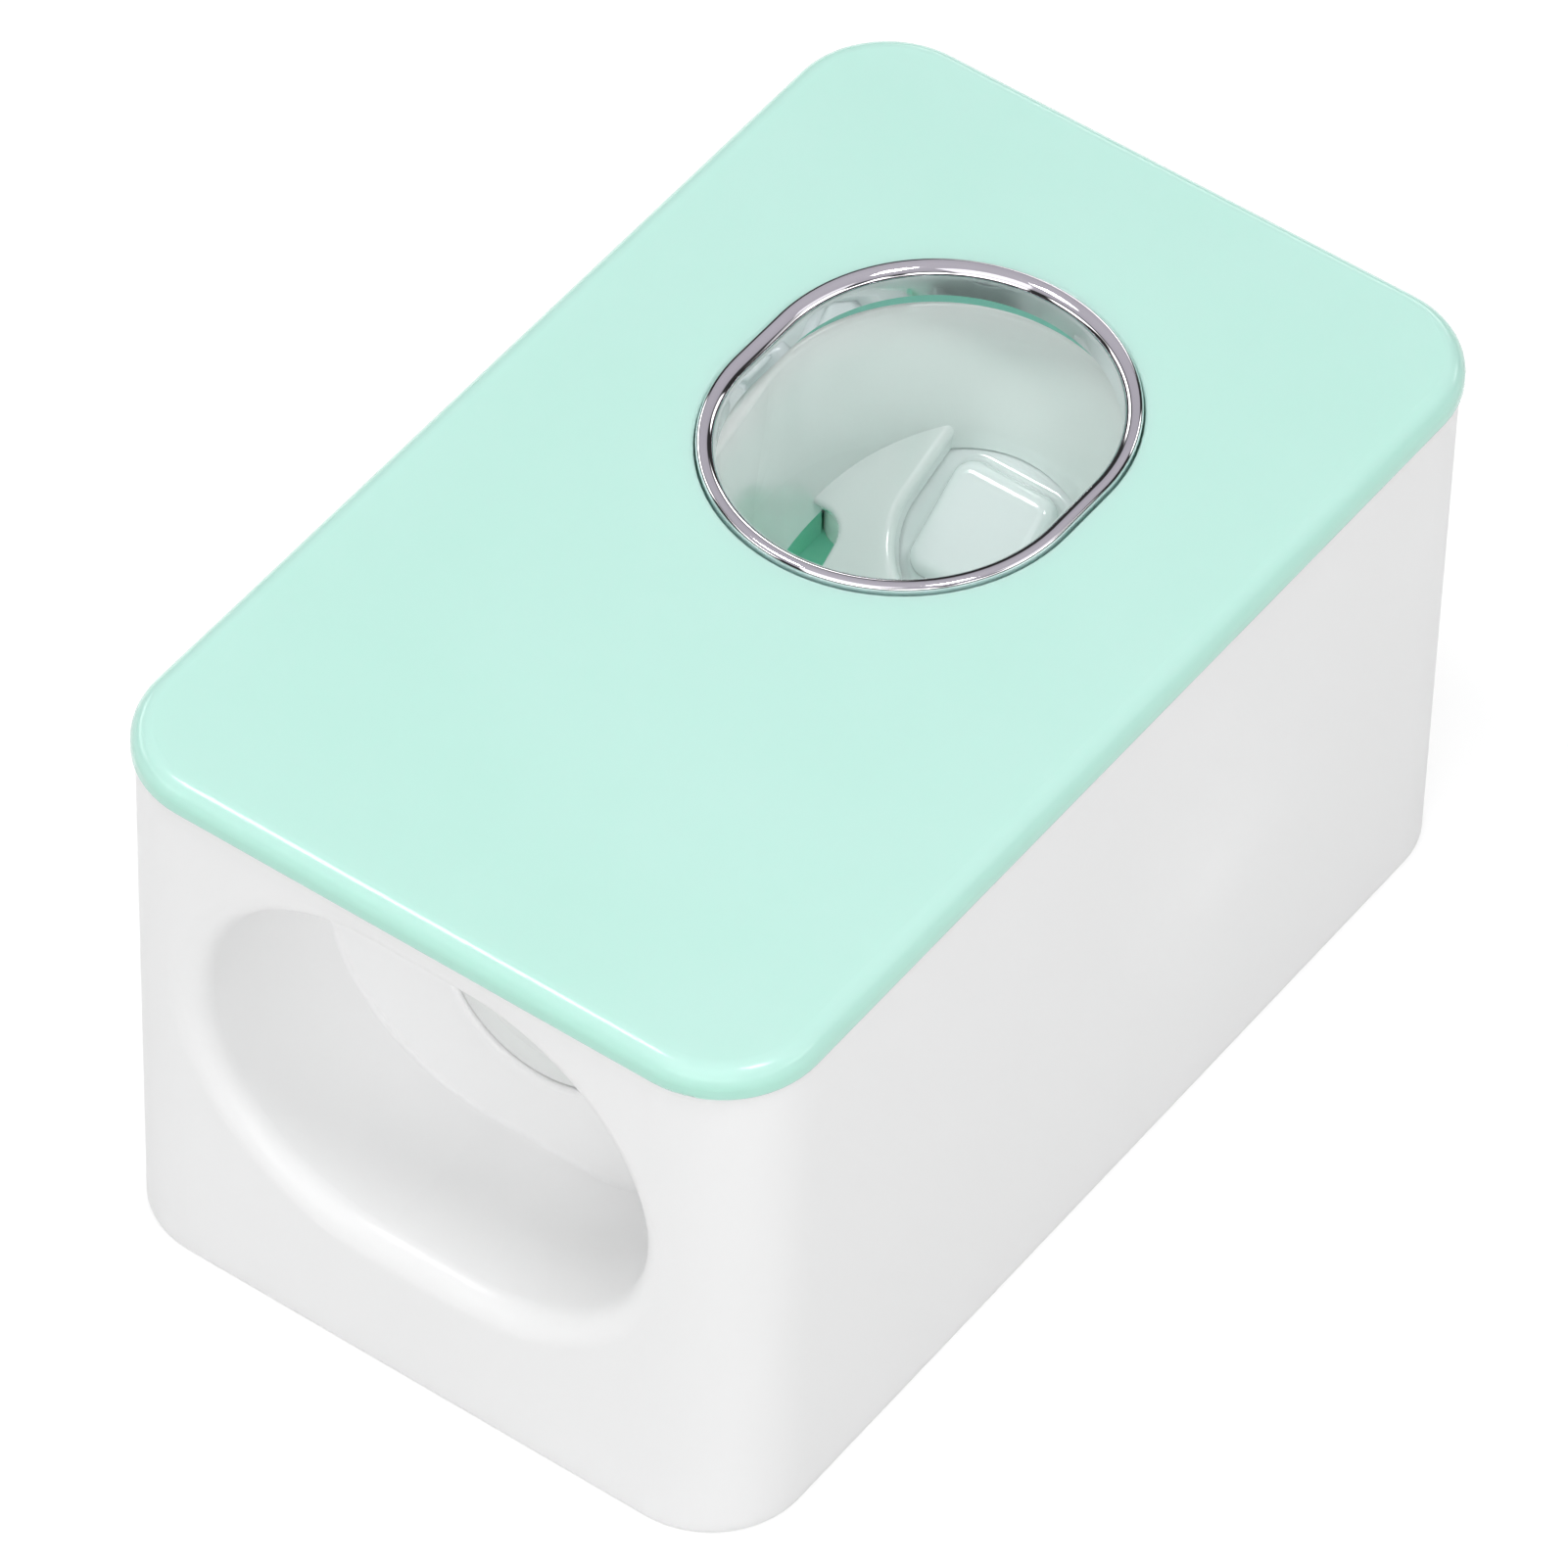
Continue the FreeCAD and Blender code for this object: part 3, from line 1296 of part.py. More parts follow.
def make_rear_screws():
    places = [(x, y) for x in ("screw_x", "-screw_x") for y in ("screw_y", "-screw_y")]
    sunk = "head_sink - head_thickness"
    return make_screws("rear_screws", places, sunk, "rear_thickness + screw_depth")


def make_chamber_screws():
    places = [(side + x, y) for x, y in (("screw_x", "screw_y"), ("side_post_x", "side_post_y"))
              for side in ("", "-")]
    return make_screws("chamber_screws", places, "plate_top + head_thickness",
                       "plate_bottom - screw_depth")


def make_pump_screws():
    places = [("lug_reach", "pump_y"), ("-lug_reach", "pump_y")]
    return make_screws("pump_screws", places, "pump_base + lug_thickness + head_thickness",
                       "pump_base - screw_depth")


def check_document():
    doc.recompute()
    for item in doc.Objects:
        if "Invalid" in item.State or "Error" in item.State:
            raise RuntimeError(f"{item.Label} failed: {item.State}")


def export(pieces):
    os.makedirs("parts", exist_ok=True)
    for piece in pieces:
        shape = piece.Shape
        if shape.isNull() or not shape.isValid() or not shape.Solids:
            raise RuntimeError(f"{piece.Label} is not a valid solid")
    for piece in pieces:
        piece.Shape.exportStep(f"parts/{piece.Label}.step")
        print(piece.Label, len(piece.Shape.Solids), f"{piece.Shape.Volume:.1f}")


pieces = [
    make_housing(),
    make_front_cover(),
    make_trim_ring(),
    make_brush_chamber(),
    make_rear_cover(),
    make_pump_body(),
    make_cylinder_cap(),
    make_plunger(),
    make_piston_cup(),
    make_return_spring(),
    make_inlet_seal(),
    make_inlet_valve(),
    make_outlet_valve(),
    make_nozzle(),
    make_push_lever(),
    make_lever_pin(),
    make_pin_clips(),
    make_stop_pad(),
    make_rear_screws(),
    make_chamber_screws(),
    make_pump_screws(),
]
check_document()
export(pieces)
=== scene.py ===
"""Finishes, small fittings and studio of a push-in toothpaste dispenser with a ringed brush opening."""

import math

import bmesh
import bpy
from mathutils import Matrix, Vector


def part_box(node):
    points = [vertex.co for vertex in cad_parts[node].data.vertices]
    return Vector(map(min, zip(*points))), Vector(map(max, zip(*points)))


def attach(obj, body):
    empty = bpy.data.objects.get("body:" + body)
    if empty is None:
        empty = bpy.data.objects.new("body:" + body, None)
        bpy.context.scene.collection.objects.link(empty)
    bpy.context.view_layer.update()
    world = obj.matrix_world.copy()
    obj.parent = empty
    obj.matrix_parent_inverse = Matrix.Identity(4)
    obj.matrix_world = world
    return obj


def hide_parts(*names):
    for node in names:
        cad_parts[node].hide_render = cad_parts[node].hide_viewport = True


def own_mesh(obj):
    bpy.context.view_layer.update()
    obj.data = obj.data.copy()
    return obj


bl_info = {
    "name": "Toothpaste Dispenser Finish",
    "version": (1, 0, 0),
    "blender": (4, 5, 0),
    "location": "View3D > Sidebar > Dispenser",
    "description": "Gives a toothpaste dispenser its plastics, plating, screws, spring and studio",
    "category": "Object",
}

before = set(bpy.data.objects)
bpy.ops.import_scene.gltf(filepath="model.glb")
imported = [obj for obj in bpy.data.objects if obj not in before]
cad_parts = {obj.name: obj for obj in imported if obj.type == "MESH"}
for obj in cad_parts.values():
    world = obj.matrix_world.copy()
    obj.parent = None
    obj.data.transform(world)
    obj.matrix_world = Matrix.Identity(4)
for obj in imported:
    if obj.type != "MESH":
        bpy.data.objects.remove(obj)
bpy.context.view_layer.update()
SCREW_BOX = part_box("rear_screws")
SPRING_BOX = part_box("return_spring")
RING_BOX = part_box("trim_ring")
COVER_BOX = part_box("front_cover")
CHAMBER_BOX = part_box("brush_chamber")
WHOLE_TURN = 2.0 * math.pi
CLOSE = 0.000001
SLIVER = 10.0 * CLOSE
FACING = 0.9
SMOOTH_ANGLE = math.radians(35.0)
WIRE_SMOOTH_ANGLE = math.radians(40.0)

# Plastics: patterns per metre, relief in metres
DRIFT_START = 0.35
DRIFT_END = 0.65
FLOW_SCALE = 28.0
GLOSS_SCALE = 140.0
GLOSS_SWING = 0.03
PEEL_SCALE = 1400.0
PEEL_HEIGHT = 0.00002
PLASTIC_IOR = 1.48
COAT_ROUGHNESS = 0.05
WALL_REACH = 0.002

# Plating of the ring
CLOUD_SCALE = 90.0
RIPPLE_SCALE = 260.0
RIPPLE_STRENGTH = 0.10
RIPPLE_HEIGHT = 0.00006
PLATING_ROUGHNESS = (0.03, 0.07)

# Silicone of the seal, cup and valves
MILK_SCALE = 120.0
PIT_SCALE = 1800.0
PIT_STRENGTH = 0.15
PIT_HEIGHT = 0.00003
SILICONE_ROUGHNESS = (0.42, 0.58)
SILICONE_IOR = 1.41
SEAL_SCATTER = 0.25
SEAL_REACH = 0.0012

# Rubber of the stop pad
BLOOM_SCALE = 300.0
GRAIN_SCALE = 2200.0
GRAIN_STRENGTH = 0.35
GRAIN_HEIGHT = 0.00005
RUBBER_ROUGHNESS = (0.66, 0.80)

# Steel of the pin, clips, spring and screws
LINE_SCALE = 900.0
LINE_STRENGTH = 0.12
LINE_HEIGHT = 0.00002
STEEL_SWING = 0.06

# Roundings of the ring, skirt and screws, and the sides of the spring's wire
CORNER_SEGMENTS = 10
SKIRT_ROUND_SHARE = 0.4
SCREW_SIDES = 40
CROWN_SEGMENTS = 5
TIP_SHARE = 0.4
TIP_SEGMENTS = 2
WIRE_SIDES = 16

# Corner of each rear screw, across and along, and how far its cross is turned
SCREW_CORNERS = ((1, 1, 0.3), (-1, 1, 1.1), (-1, -1, 0.7), (1, -1, 1.35))

# Soft boxes: name, setting of the power, width, place, what it looks at, and whether gloss mirrors it
LAMPS = (
    ("key_box", "key_power", 0.8, (0.10, -0.80, 0.85), (0.0, 0.0, 0.03), True),
    ("right_box", "side_power", 0.6, (0.85, 0.35, 0.55), (0.0, 0.0, 0.03), True),
    ("top_right_box", "top_power", 0.2, (0.38, -0.04, 0.95), (0.0, 0.017, 0.05), True),
    ("top_left_box", "top_power", 0.2, (-0.40, -0.20, 0.92), (0.0, 0.017, 0.05), True),
    ("fill_box", "fill_power", 0.6, (0.50, -0.85, 0.32), (0.0, -0.05, 0.035), False),
    ("back_box", "back_power", 0.4, (-0.75, 0.85, 0.22), (0.0, 0.0, 0.03), False),
)

# Glows in the case: name and place
GLOWS = (
    ("inner_right_glow", (0.027, 0.015, 0.030)),
    ("inner_left_glow", (-0.027, 0.015, 0.030)),
)
GLOW_RADIUS = 0.004

# Room that bright surfaces mirror: shades by level, and the gaps in its row of soft boxes
WHITE_LIGHT = (1.0, 1.0, 1.0, 1.0)
BOX_GAP_SCALE = 2.6
BOX_GAP_EDGES = (0.42, 0.5)
CEILING = (
    (0.00, (0.01, 0.01, 0.01)),
    (0.48, (0.01, 0.01, 0.01)),
    (0.56, (0.15, 0.145, 0.16)),
    (1.00, (0.18, 0.175, 0.19)),
)
SOFT_BOXES = (
    (0.20, (0.0, 0.0, 0.0)),
    (0.25, (1.0, 1.0, 1.0)),
    (0.38, (1.0, 1.0, 1.0)),
    (0.44, (0.0, 0.0, 0.0)),
)


class ShellFinish(bpy.types.PropertyGroup):
    """Colours and gloss of the moulded shell."""

    mint: bpy.props.FloatVectorProperty(
        name="Mint", description="Colour of the front cover", subtype="COLOR", size=3, min=0.0, max=1.0,
        default=(0.560, 0.855, 0.772))
    mint_deep: bpy.props.FloatVectorProperty(
        name="Deep mint", description="Colour that the front cover drifts to", subtype="COLOR", size=3,
        min=0.0, max=1.0, default=(0.540, 0.848, 0.756))
    # Painted shade: the rim's mint is darker and deeper than the top's. It stands for the shade on the
    # cover's sides, which face sideways and down.
    mint_rim_shade: bpy.props.FloatVectorProperty(
        name="Rim mint", description="Colour of the front cover's rolled rim", subtype="COLOR", size=3,
        min=0.0, max=1.0, default=(0.475, 0.845, 0.715))
    rim_shade_height: bpy.props.FloatProperty(
        name="Rim height", description="Height of the rolled rim, over which the mint deepens", unit="LENGTH",
        default=0.0024)
    # Painted shade: the rear cover's mint is a darker, deeper copy of the cover's. It stands for the shade
    # inside the case.
    shaded_back_mint: bpy.props.FloatVectorProperty(
        name="Back mint", description="Colour of the rear cover", subtype="COLOR", size=3, min=0.0, max=1.0,
        default=(0.28, 0.78, 0.58))
    shaded_back_mint_deep: bpy.props.FloatVectorProperty(
        name="Deep back mint", description="Colour that the rear cover drifts to", subtype="COLOR", size=3,
        min=0.0, max=1.0, default=(0.25, 0.75, 0.55))
    white: bpy.props.FloatVectorProperty(
        name="White", description="Colour of the housing", subtype="COLOR", size=3, min=0.0, max=1.0,
        default=(0.962, 0.963, 0.965))
    white_warm: bpy.props.FloatVectorProperty(
        name="Warm white", description="Colour that the housing drifts to", subtype="COLOR", size=3,
        min=0.0, max=1.0, default=(0.954, 0.955, 0.955))
    inner_white: bpy.props.FloatVectorProperty(
        name="Inner white", description="Colour of the brush chamber", subtype="COLOR", size=3,
        min=0.0, max=1.0, default=(0.900, 0.985, 0.958))
    inner_white_deep: bpy.props.FloatVectorProperty(
        name="Deep inner white", description="Colour that the chamber drifts to", subtype="COLOR", size=3,
        min=0.0, max=1.0, default=(0.885, 0.978, 0.948))
    # Painted highlight: the chamber's rim is whiter than the inner white. It stands for the light caught on
    # its rolled lip.
    inner_rim_highlight: bpy.props.FloatVectorProperty(
        name="Inner rim white", description="Colour of the chamber's rim", subtype="COLOR", size=3,
        min=0.0, max=1.0, default=(0.970, 0.988, 0.980))
    inner_rim_highlight_height: bpy.props.FloatProperty(
        name="Inner rim height", description="Height over which the chamber's rim turns to the inner white",
        unit="LENGTH", default=0.007)
    # Painted shade: the lever's white is a darker copy of the chamber's. It stands for the shade deep in the
    # bowl, and the nozzle shares it.
    lever_white: bpy.props.FloatVectorProperty(
        name="Lever white", description="Colour of the lever and the nozzle", subtype="COLOR", size=3,
        min=0.0, max=1.0, default=(0.820, 0.910, 0.895))
    shaded_lever_white_deep: bpy.props.FloatVectorProperty(
        name="Deep lever white", description="Colour that the lever drifts to", subtype="COLOR", size=3,
        min=0.0, max=1.0, default=(0.805, 0.900, 0.885))
    # Painted shade: the skirt's mint is a darker copy of the cover's. It stands for the shadow that falls
    # under the ring.
    skirt_mint: bpy.props.FloatVectorProperty(
        name="Skirt mint", description="Colour of the cover's skirt under the ring", subtype="COLOR", size=3,
        min=0.0, max=1.0, default=(0.26, 0.66, 0.54))
    shaded_skirt_mint_deep: bpy.props.FloatVectorProperty(
        name="Deep skirt mint", description="Colour that the skirt drifts to", subtype="COLOR", size=3,
        min=0.0, max=1.0, default=(0.24, 0.63, 0.51))
    cover_gloss: bpy.props.FloatProperty(
        name="Cover roughness", description="Mean roughness of the front cover", subtype="FACTOR",
        min=0.0, max=1.0, default=0.22)
    housing_gloss: bpy.props.FloatProperty(
        name="Housing roughness", description="Mean roughness of the housing", subtype="FACTOR",
        min=0.0, max=1.0, default=0.34)


class RingFinish(bpy.types.PropertyGroup):
    """Plating of the trim ring."""

    plate: bpy.props.FloatVectorProperty(
        name="Plating", description="Colour of the bright plating", subtype="COLOR", size=3, min=0.0, max=1.0,
        default=(0.87, 0.85, 0.88))
    plate_grey: bpy.props.FloatVectorProperty(
        name="Grey plating", description="Colour that the plating drifts to", subtype="COLOR", size=3,
        min=0.0, max=1.0, default=(0.82, 0.80, 0.83))


class PumpFinish(bpy.types.PropertyGroup):
    """Colours of the pump, its seals, the stop and the steel."""

    acetal: bpy.props.FloatVectorProperty(
        name="Acetal", description="Colour of the pump's plastic", subtype="COLOR", size=3, min=0.0, max=1.0,
        default=(0.82, 0.83, 0.82))
    acetal_shade: bpy.props.FloatVectorProperty(
        name="Acetal shade", description="Colour that the pump's plastic drifts to", subtype="COLOR", size=3,
        min=0.0, max=1.0, default=(0.78, 0.79, 0.77))
    silicone: bpy.props.FloatVectorProperty(
        name="Silicone", description="Colour of the seal, cup and valves", subtype="COLOR", size=3,
        min=0.0, max=1.0, default=(0.84, 0.86, 0.85))
    silicone_shade: bpy.props.FloatVectorProperty(
        name="Silicone shade", description="Colour that the silicone drifts to", subtype="COLOR", size=3,
        min=0.0, max=1.0, default=(0.80, 0.82, 0.81))
    rubber: bpy.props.FloatVectorProperty(
        name="Rubber", description="Colour of the stop pad", subtype="COLOR", size=3, min=0.0, max=1.0,
        default=(0.035, 0.037, 0.038))
    rubber_dust: bpy.props.FloatVectorProperty(
        name="Rubber dust", description="Colour of the pale bloom on the stop pad", subtype="COLOR", size=3,
        min=0.0, max=1.0, default=(0.075, 0.077, 0.078))
    steel: bpy.props.FloatVectorProperty(
        name="Steel", description="Colour of the pin, clips and spring", subtype="COLOR", size=3,
        min=0.0, max=1.0, default=(0.60, 0.60, 0.61))
    steel_dark: bpy.props.FloatVectorProperty(
        name="Dark steel", description="Colour of the drawn lines in the steel", subtype="COLOR", size=3,
        min=0.0, max=1.0, default=(0.48, 0.48, 0.49))
    zinc: bpy.props.FloatVectorProperty(
        name="Zinc", description="Colour of the screws' plating", subtype="COLOR", size=3, min=0.0, max=1.0,
        default=(0.66, 0.67, 0.69))
    zinc_dull: bpy.props.FloatVectorProperty(
        name="Dull zinc", description="Colour that the screws' plating drifts to", subtype="COLOR", size=3,
        min=0.0, max=1.0, default=(0.52, 0.53, 0.55))


class RingSizes(bpy.types.PropertyGroup):
    """Sizes of the rolled ring, and of the cover's skirt under it."""

    band: bpy.props.FloatProperty(
        name="Band", description="Width of the ring, from its outer edge to the opening", unit="LENGTH",
        default=0.0019)
    outer_roll: bpy.props.FloatProperty(
        name="Outer roll", description="Rounding of the ring's outer edge", unit="LENGTH", default=0.0006)
    inner_roll: bpy.props.FloatProperty(
        name="Inner roll", description="Rounding of the ring's edge at the opening", unit="LENGTH",
        default=0.00125)
    lip_height: bpy.props.FloatProperty(
        name="Lip height", description="Height of the ring's lip over its seat", unit="LENGTH",
        default=0.0023)
    shoulder: bpy.props.FloatProperty(
        name="Shoulder", description="Step from the lip in to the sleeve", unit="LENGTH", default=0.0007)
    skirt_gap: bpy.props.FloatProperty(
        name="Skirt gap", description="Gap between the sleeve and the skirt", unit="LENGTH", default=0.0002)
    skirt_wall: bpy.props.FloatProperty(
        name="Skirt wall", description="Thickness of the skirt", unit="LENGTH", default=0.0008)
    skirt_top: bpy.props.FloatProperty(
        name="Skirt top", description="Drop from the cover's top to the top of the skirt", unit="LENGTH",
        default=0.0022)
    skirt_foot: bpy.props.FloatProperty(
        name="Skirt foot", description="Drop from the cover's top to the foot of the skirt", unit="LENGTH",
        default=0.0051)
    steps: bpy.props.IntProperty(
        name="Steps", description="Sections round the ring", min=24, default=128)


class ScrewSizes(bpy.types.PropertyGroup):
    """Sizes of the rear screws."""

    head_radius: bpy.props.FloatProperty(
        name="Head radius", description="Radius of a rear screw's head", unit="LENGTH", default=0.0024)
    head_height: bpy.props.FloatProperty(
        name="Head height", description="Height of a rear screw's head", unit="LENGTH", default=0.0012)
    shank_radius: bpy.props.FloatProperty(
        name="Shank radius", description="Radius of a rear screw's shank", unit="LENGTH", default=0.00125)
    crown: bpy.props.FloatProperty(
        name="Crown", description="Rounding of the head's edge", unit="LENGTH", default=0.00045)
    slot_length: bpy.props.FloatProperty(
        name="Cross length", description="Length of each arm pair of the cross recess", unit="LENGTH",
        default=0.0026)
    slot_width: bpy.props.FloatProperty(
        name="Cross width", description="Width of each arm of the cross recess", unit="LENGTH",
        default=0.00055)
    slot_depth: bpy.props.FloatProperty(
        name="Cross depth", description="Depth of the cross recess", unit="LENGTH", default=0.0008)


class SpringSizes(bpy.types.PropertyGroup):
    """Sizes of the return spring."""

    wire_radius: bpy.props.FloatProperty(
        name="Wire radius", description="Radius of the spring's wire", unit="LENGTH", default=0.00045)
    turns: bpy.props.IntProperty(
        name="Turns", description="Number of turns in the spring", min=1, default=5)
    steps: bpy.props.IntProperty(
        name="Steps", description="Sections in each turn of the spring", min=8, default=40)


class StudioSettings(bpy.types.PropertyGroup):
    """Camera, floor and light."""

    azimuth: bpy.props.FloatProperty(
        name="Azimuth", description="Turn of the camera from the recess end towards the right side",
        subtype="ANGLE", default=math.radians(34.79))
    elevation: bpy.props.FloatProperty(
        name="Elevation", description="Height of the camera above the horizon", subtype="ANGLE",
        default=math.radians(47.35))
    roll: bpy.props.FloatProperty(
        name="Roll", description="Turn of the camera about its own line of sight", subtype="ANGLE",
        default=math.radians(1.75))
    place: bpy.props.FloatVectorProperty(
        name="Place", description="Where the camera stands", subtype="XYZ", unit="LENGTH", size=3,
        default=(0.43937, -0.63515, 0.86811))
    lens: bpy.props.FloatProperty(
        name="Lens", description="Focal length on a 36 mm sensor, in millimetres", default=280.47)
    floor_size: bpy.props.FloatProperty(
        name="Floor size", description="Width of the floor", unit="LENGTH", default=8.0)
    floor_gap: bpy.props.FloatProperty(
        name="Floor gap", description="Drop from the part's back to the floor", unit="LENGTH", default=0.0002)
    floor_white: bpy.props.FloatVectorProperty(
        name="Floor white", description="Colour of the floor", subtype="COLOR", size=3, min=0.0, max=1.0,
        default=(0.60, 0.60, 0.60))
    floor_lift: bpy.props.FloatProperty(
        name="Floor lift", description="Glow that shows the floor as white, and lights nothing", default=0.50)
    room_light: bpy.props.FloatProperty(
        name="Room light", description="Strength of the even light from all round", default=0.46)
    mirror_light: bpy.props.FloatProperty(
        name="Mirror light", description="Strength of the soft boxes that bright surfaces mirror",
        default=3.0)
    key_power: bpy.props.FloatProperty(
        name="Key power", description="Power of the soft box over the recess end", unit="POWER", default=1.6)
    side_power: bpy.props.FloatProperty(
        name="Side power", description="Power of the soft box over the right side", unit="POWER",
        default=0.65)
    top_power: bpy.props.FloatProperty(
        name="Top power", description="Power of each of the two soft boxes overhead", unit="POWER",
        default=2.15)
    fill_power: bpy.props.FloatProperty(
        name="Fill power", description="Power of the low soft box before the recess", unit="POWER",
        default=2.6)
    back_power: bpy.props.FloatProperty(
        name="Back power", description="Power of the low soft box behind", unit="POWER", default=2.5)
    inner_power: bpy.props.FloatProperty(
        name="Inner power", description="Power of each glow in the case, for light through its walls",
        unit="POWER", default=0.008)


class DispenserSettings(bpy.types.PropertyGroup):
    """All that a user would change."""

    shell: bpy.props.PointerProperty(name="Shell", description="Moulded shell", type=ShellFinish)
    ring: bpy.props.PointerProperty(name="Ring", description="Trim ring", type=RingFinish)
    pump: bpy.props.PointerProperty(name="Pump", description="Pump and steel", type=PumpFinish)
    ring_sizes: bpy.props.PointerProperty(
        name="Ring sizes", description="Rolled ring and skirt", type=RingSizes)
    screws: bpy.props.PointerProperty(name="Screws", description="Rear screws", type=ScrewSizes)
    spring: bpy.props.PointerProperty(name="Spring", description="Return spring", type=SpringSizes)
    studio: bpy.props.PointerProperty(
        name="Studio", description="Camera, floor and light", type=StudioSettings)


def settings(context):
    """The dispenser's settings in the open scene."""
    return context.scene.dispenser


def with_alpha(colour):
    """A colour with full opacity."""
    return (*colour, 1.0)


def new_finish(name):
    """A material with an empty node tree, its shader and its output."""
    finish = bpy.data.materials.new(name)
    finish.use_nodes = True
    tree = finish.node_tree
    tree.nodes.clear()
    output = tree.nodes.new("ShaderNodeOutputMaterial")
    shader = tree.nodes.new("ShaderNodeBsdfPrincipled")
    tree.links.new(shader.outputs["BSDF"], output.inputs["Surface"])
    return finish, tree, shader


def object_place(tree, stretch=(1.0, 1.0, 1.0)):
    """Object coordinates in metres, stretched along the axes."""
    coordinates = tree.nodes.new("ShaderNodeTexCoord")
    mapping = tree.nodes.new("ShaderNodeMapping")
    mapping.inputs["Scale"].default_value = stretch
    tree.links.new(coordinates.outputs["Object"], mapping.inputs["Vector"])
    return mapping.outputs["Vector"]


def noise(tree, place, scale, detail=2.0):
    """A soft noise pattern."""
    pattern = tree.nodes.new("ShaderNodeTexNoise")
    pattern.inputs["Scale"].default_value = scale
    pattern.inputs["Detail"].default_value = detail
    tree.links.new(place, pattern.inputs["Vector"])
    return pattern.outputs["Fac"]


def drift(tree, amount, first, second):
    """A colour that drifts from the first to the second."""
    ramp = tree.nodes.new("ShaderNodeValToRGB")
    ramp.color_ramp.elements[0].position = DRIFT_START
    ramp.color_ramp.elements[0].color = with_alpha(first)
    ramp.color_ramp.elements[1].position = DRIFT_END
    ramp.color_ramp.elements[1].color = with_alpha(second)
    tree.links.new(amount, ramp.inputs["Fac"])
    return ramp.outputs["Color"]


def spread(tree, amount, low, high, start=0.3, end=0.7):
    """A value that runs from low to high as the amount goes from start to end."""
    span = tree.nodes.new("ShaderNodeMapRange")
    span.inputs["From Min"].default_value = start
    span.inputs["From Max"].default_value = end
    span.inputs["To Min"].default_value = low
    span.inputs["To Max"].default_value = high
    tree.links.new(amount, span.inputs["Value"])
    return span.outputs["Result"]


def relief(tree, amount, strength, height):
    """A normal raised by the amount."""
    bump = tree.nodes.new("ShaderNodeBump")
    bump.inputs["Strength"].default_value = strength
    bump.inputs["Distance"].default_value = height
    tree.links.new(amount, bump.inputs["Height"])
    return bump.outputs["Normal"]


def painted_rim_band(tree, place, colour, rim, rim_level, plain_level):
    """Painted light at a rim: the painted rim colour at the rim's level, which turns into the plain colour at
    the plain level.
    """
    parts = tree.nodes.new("ShaderNodeSeparateXYZ")
    tree.links.new(place, parts.inputs["Vector"])
    height = tree.nodes.new("ShaderNodeMapRange")
    height.interpolation_type = "SMOOTHSTEP"
    height.inputs["From Min"].default_value = rim_level
    height.inputs["From Max"].default_value = plain_level
    tree.links.new(parts.outputs["Z"], height.inputs["Value"])
    blend = tree.nodes.new("ShaderNodeMix")
    blend.data_type = "RGBA"
    blend.inputs["A"].default_value = with_alpha(rim)
    tree.links.new(height.outputs["Result"], blend.inputs["Factor"])
    tree.links.new(colour, blend.inputs["B"])
    return blend.outputs["Result"]


def let_light_in(shader, weight, reach):
    """Lets light scatter in a pale plastic, over the given reach in metres."""
    shader.inputs["Subsurface Weight"].default_value = weight
    shader.inputs["Subsurface Radius"].default_value = (reach, reach, reach)
    shader.inputs["Subsurface Scale"].default_value = 1.0


def moulded_plastic(name, first, second, roughness, peel=0.08, coat=0.0, glow=0.0, rim=None, shine=0.5):
    """Moulded plastic: a slow drift of colour, uneven gloss and a fine orange peel. A given rim adds a band
    painted by height, which is painted shade on the front cover and a painted highlight on the chamber.
    """
    finish, tree, shader = new_finish(name)
    place = object_place(tree)
    flow = noise(tree, place, FLOW_SCALE, detail=3.0)
    gloss = noise(tree, place, GLOSS_SCALE, detail=3.0)
    skin = noise(tree, place, PEEL_SCALE)
    colour = drift(tree, flow, first, second)
    if rim:
        colour = painted_rim_band(tree, place, colour, *rim)
    tree.links.new(colour, shader.inputs["Base Color"])
    dullness = spread(tree, gloss, roughness - GLOSS_SWING, roughness + GLOSS_SWING)
    tree.links.new(dullness, shader.inputs["Roughness"])
    tree.links.new(relief(tree, skin, peel, PEEL_HEIGHT), shader.inputs["Normal"])
    shader.inputs["IOR"].default_value = PLASTIC_IOR
    shader.inputs["Specular IOR Level"].default_value = shine
    shader.inputs["Coat Weight"].default_value = coat
    shader.inputs["Coat Roughness"].default_value = COAT_ROUGHNESS
    if glow:
        let_light_in(shader, glow, WALL_REACH)
    return finish


def bright_plating(name, first, second):
    """Bright plating on plastic: a faint cloud in colour and gloss, and the ripple of the moulding below."""
    finish, tree, shader = new_finish(name)
    place = object_place(tree)
    cloud = noise(tree, place, CLOUD_SCALE, detail=3.0)
    ripple = noise(tree, place, RIPPLE_SCALE, detail=1.0)
    tree.links.new(drift(tree, cloud, first, second), shader.inputs["Base Color"])
    tree.links.new(spread(tree, cloud, *PLATING_ROUGHNESS), shader.inputs["Roughness"])
    tree.links.new(relief(tree, ripple, RIPPLE_STRENGTH, RIPPLE_HEIGHT), shader.inputs["Normal"])
    shader.inputs["Metallic"].default_value = 1.0
    return finish


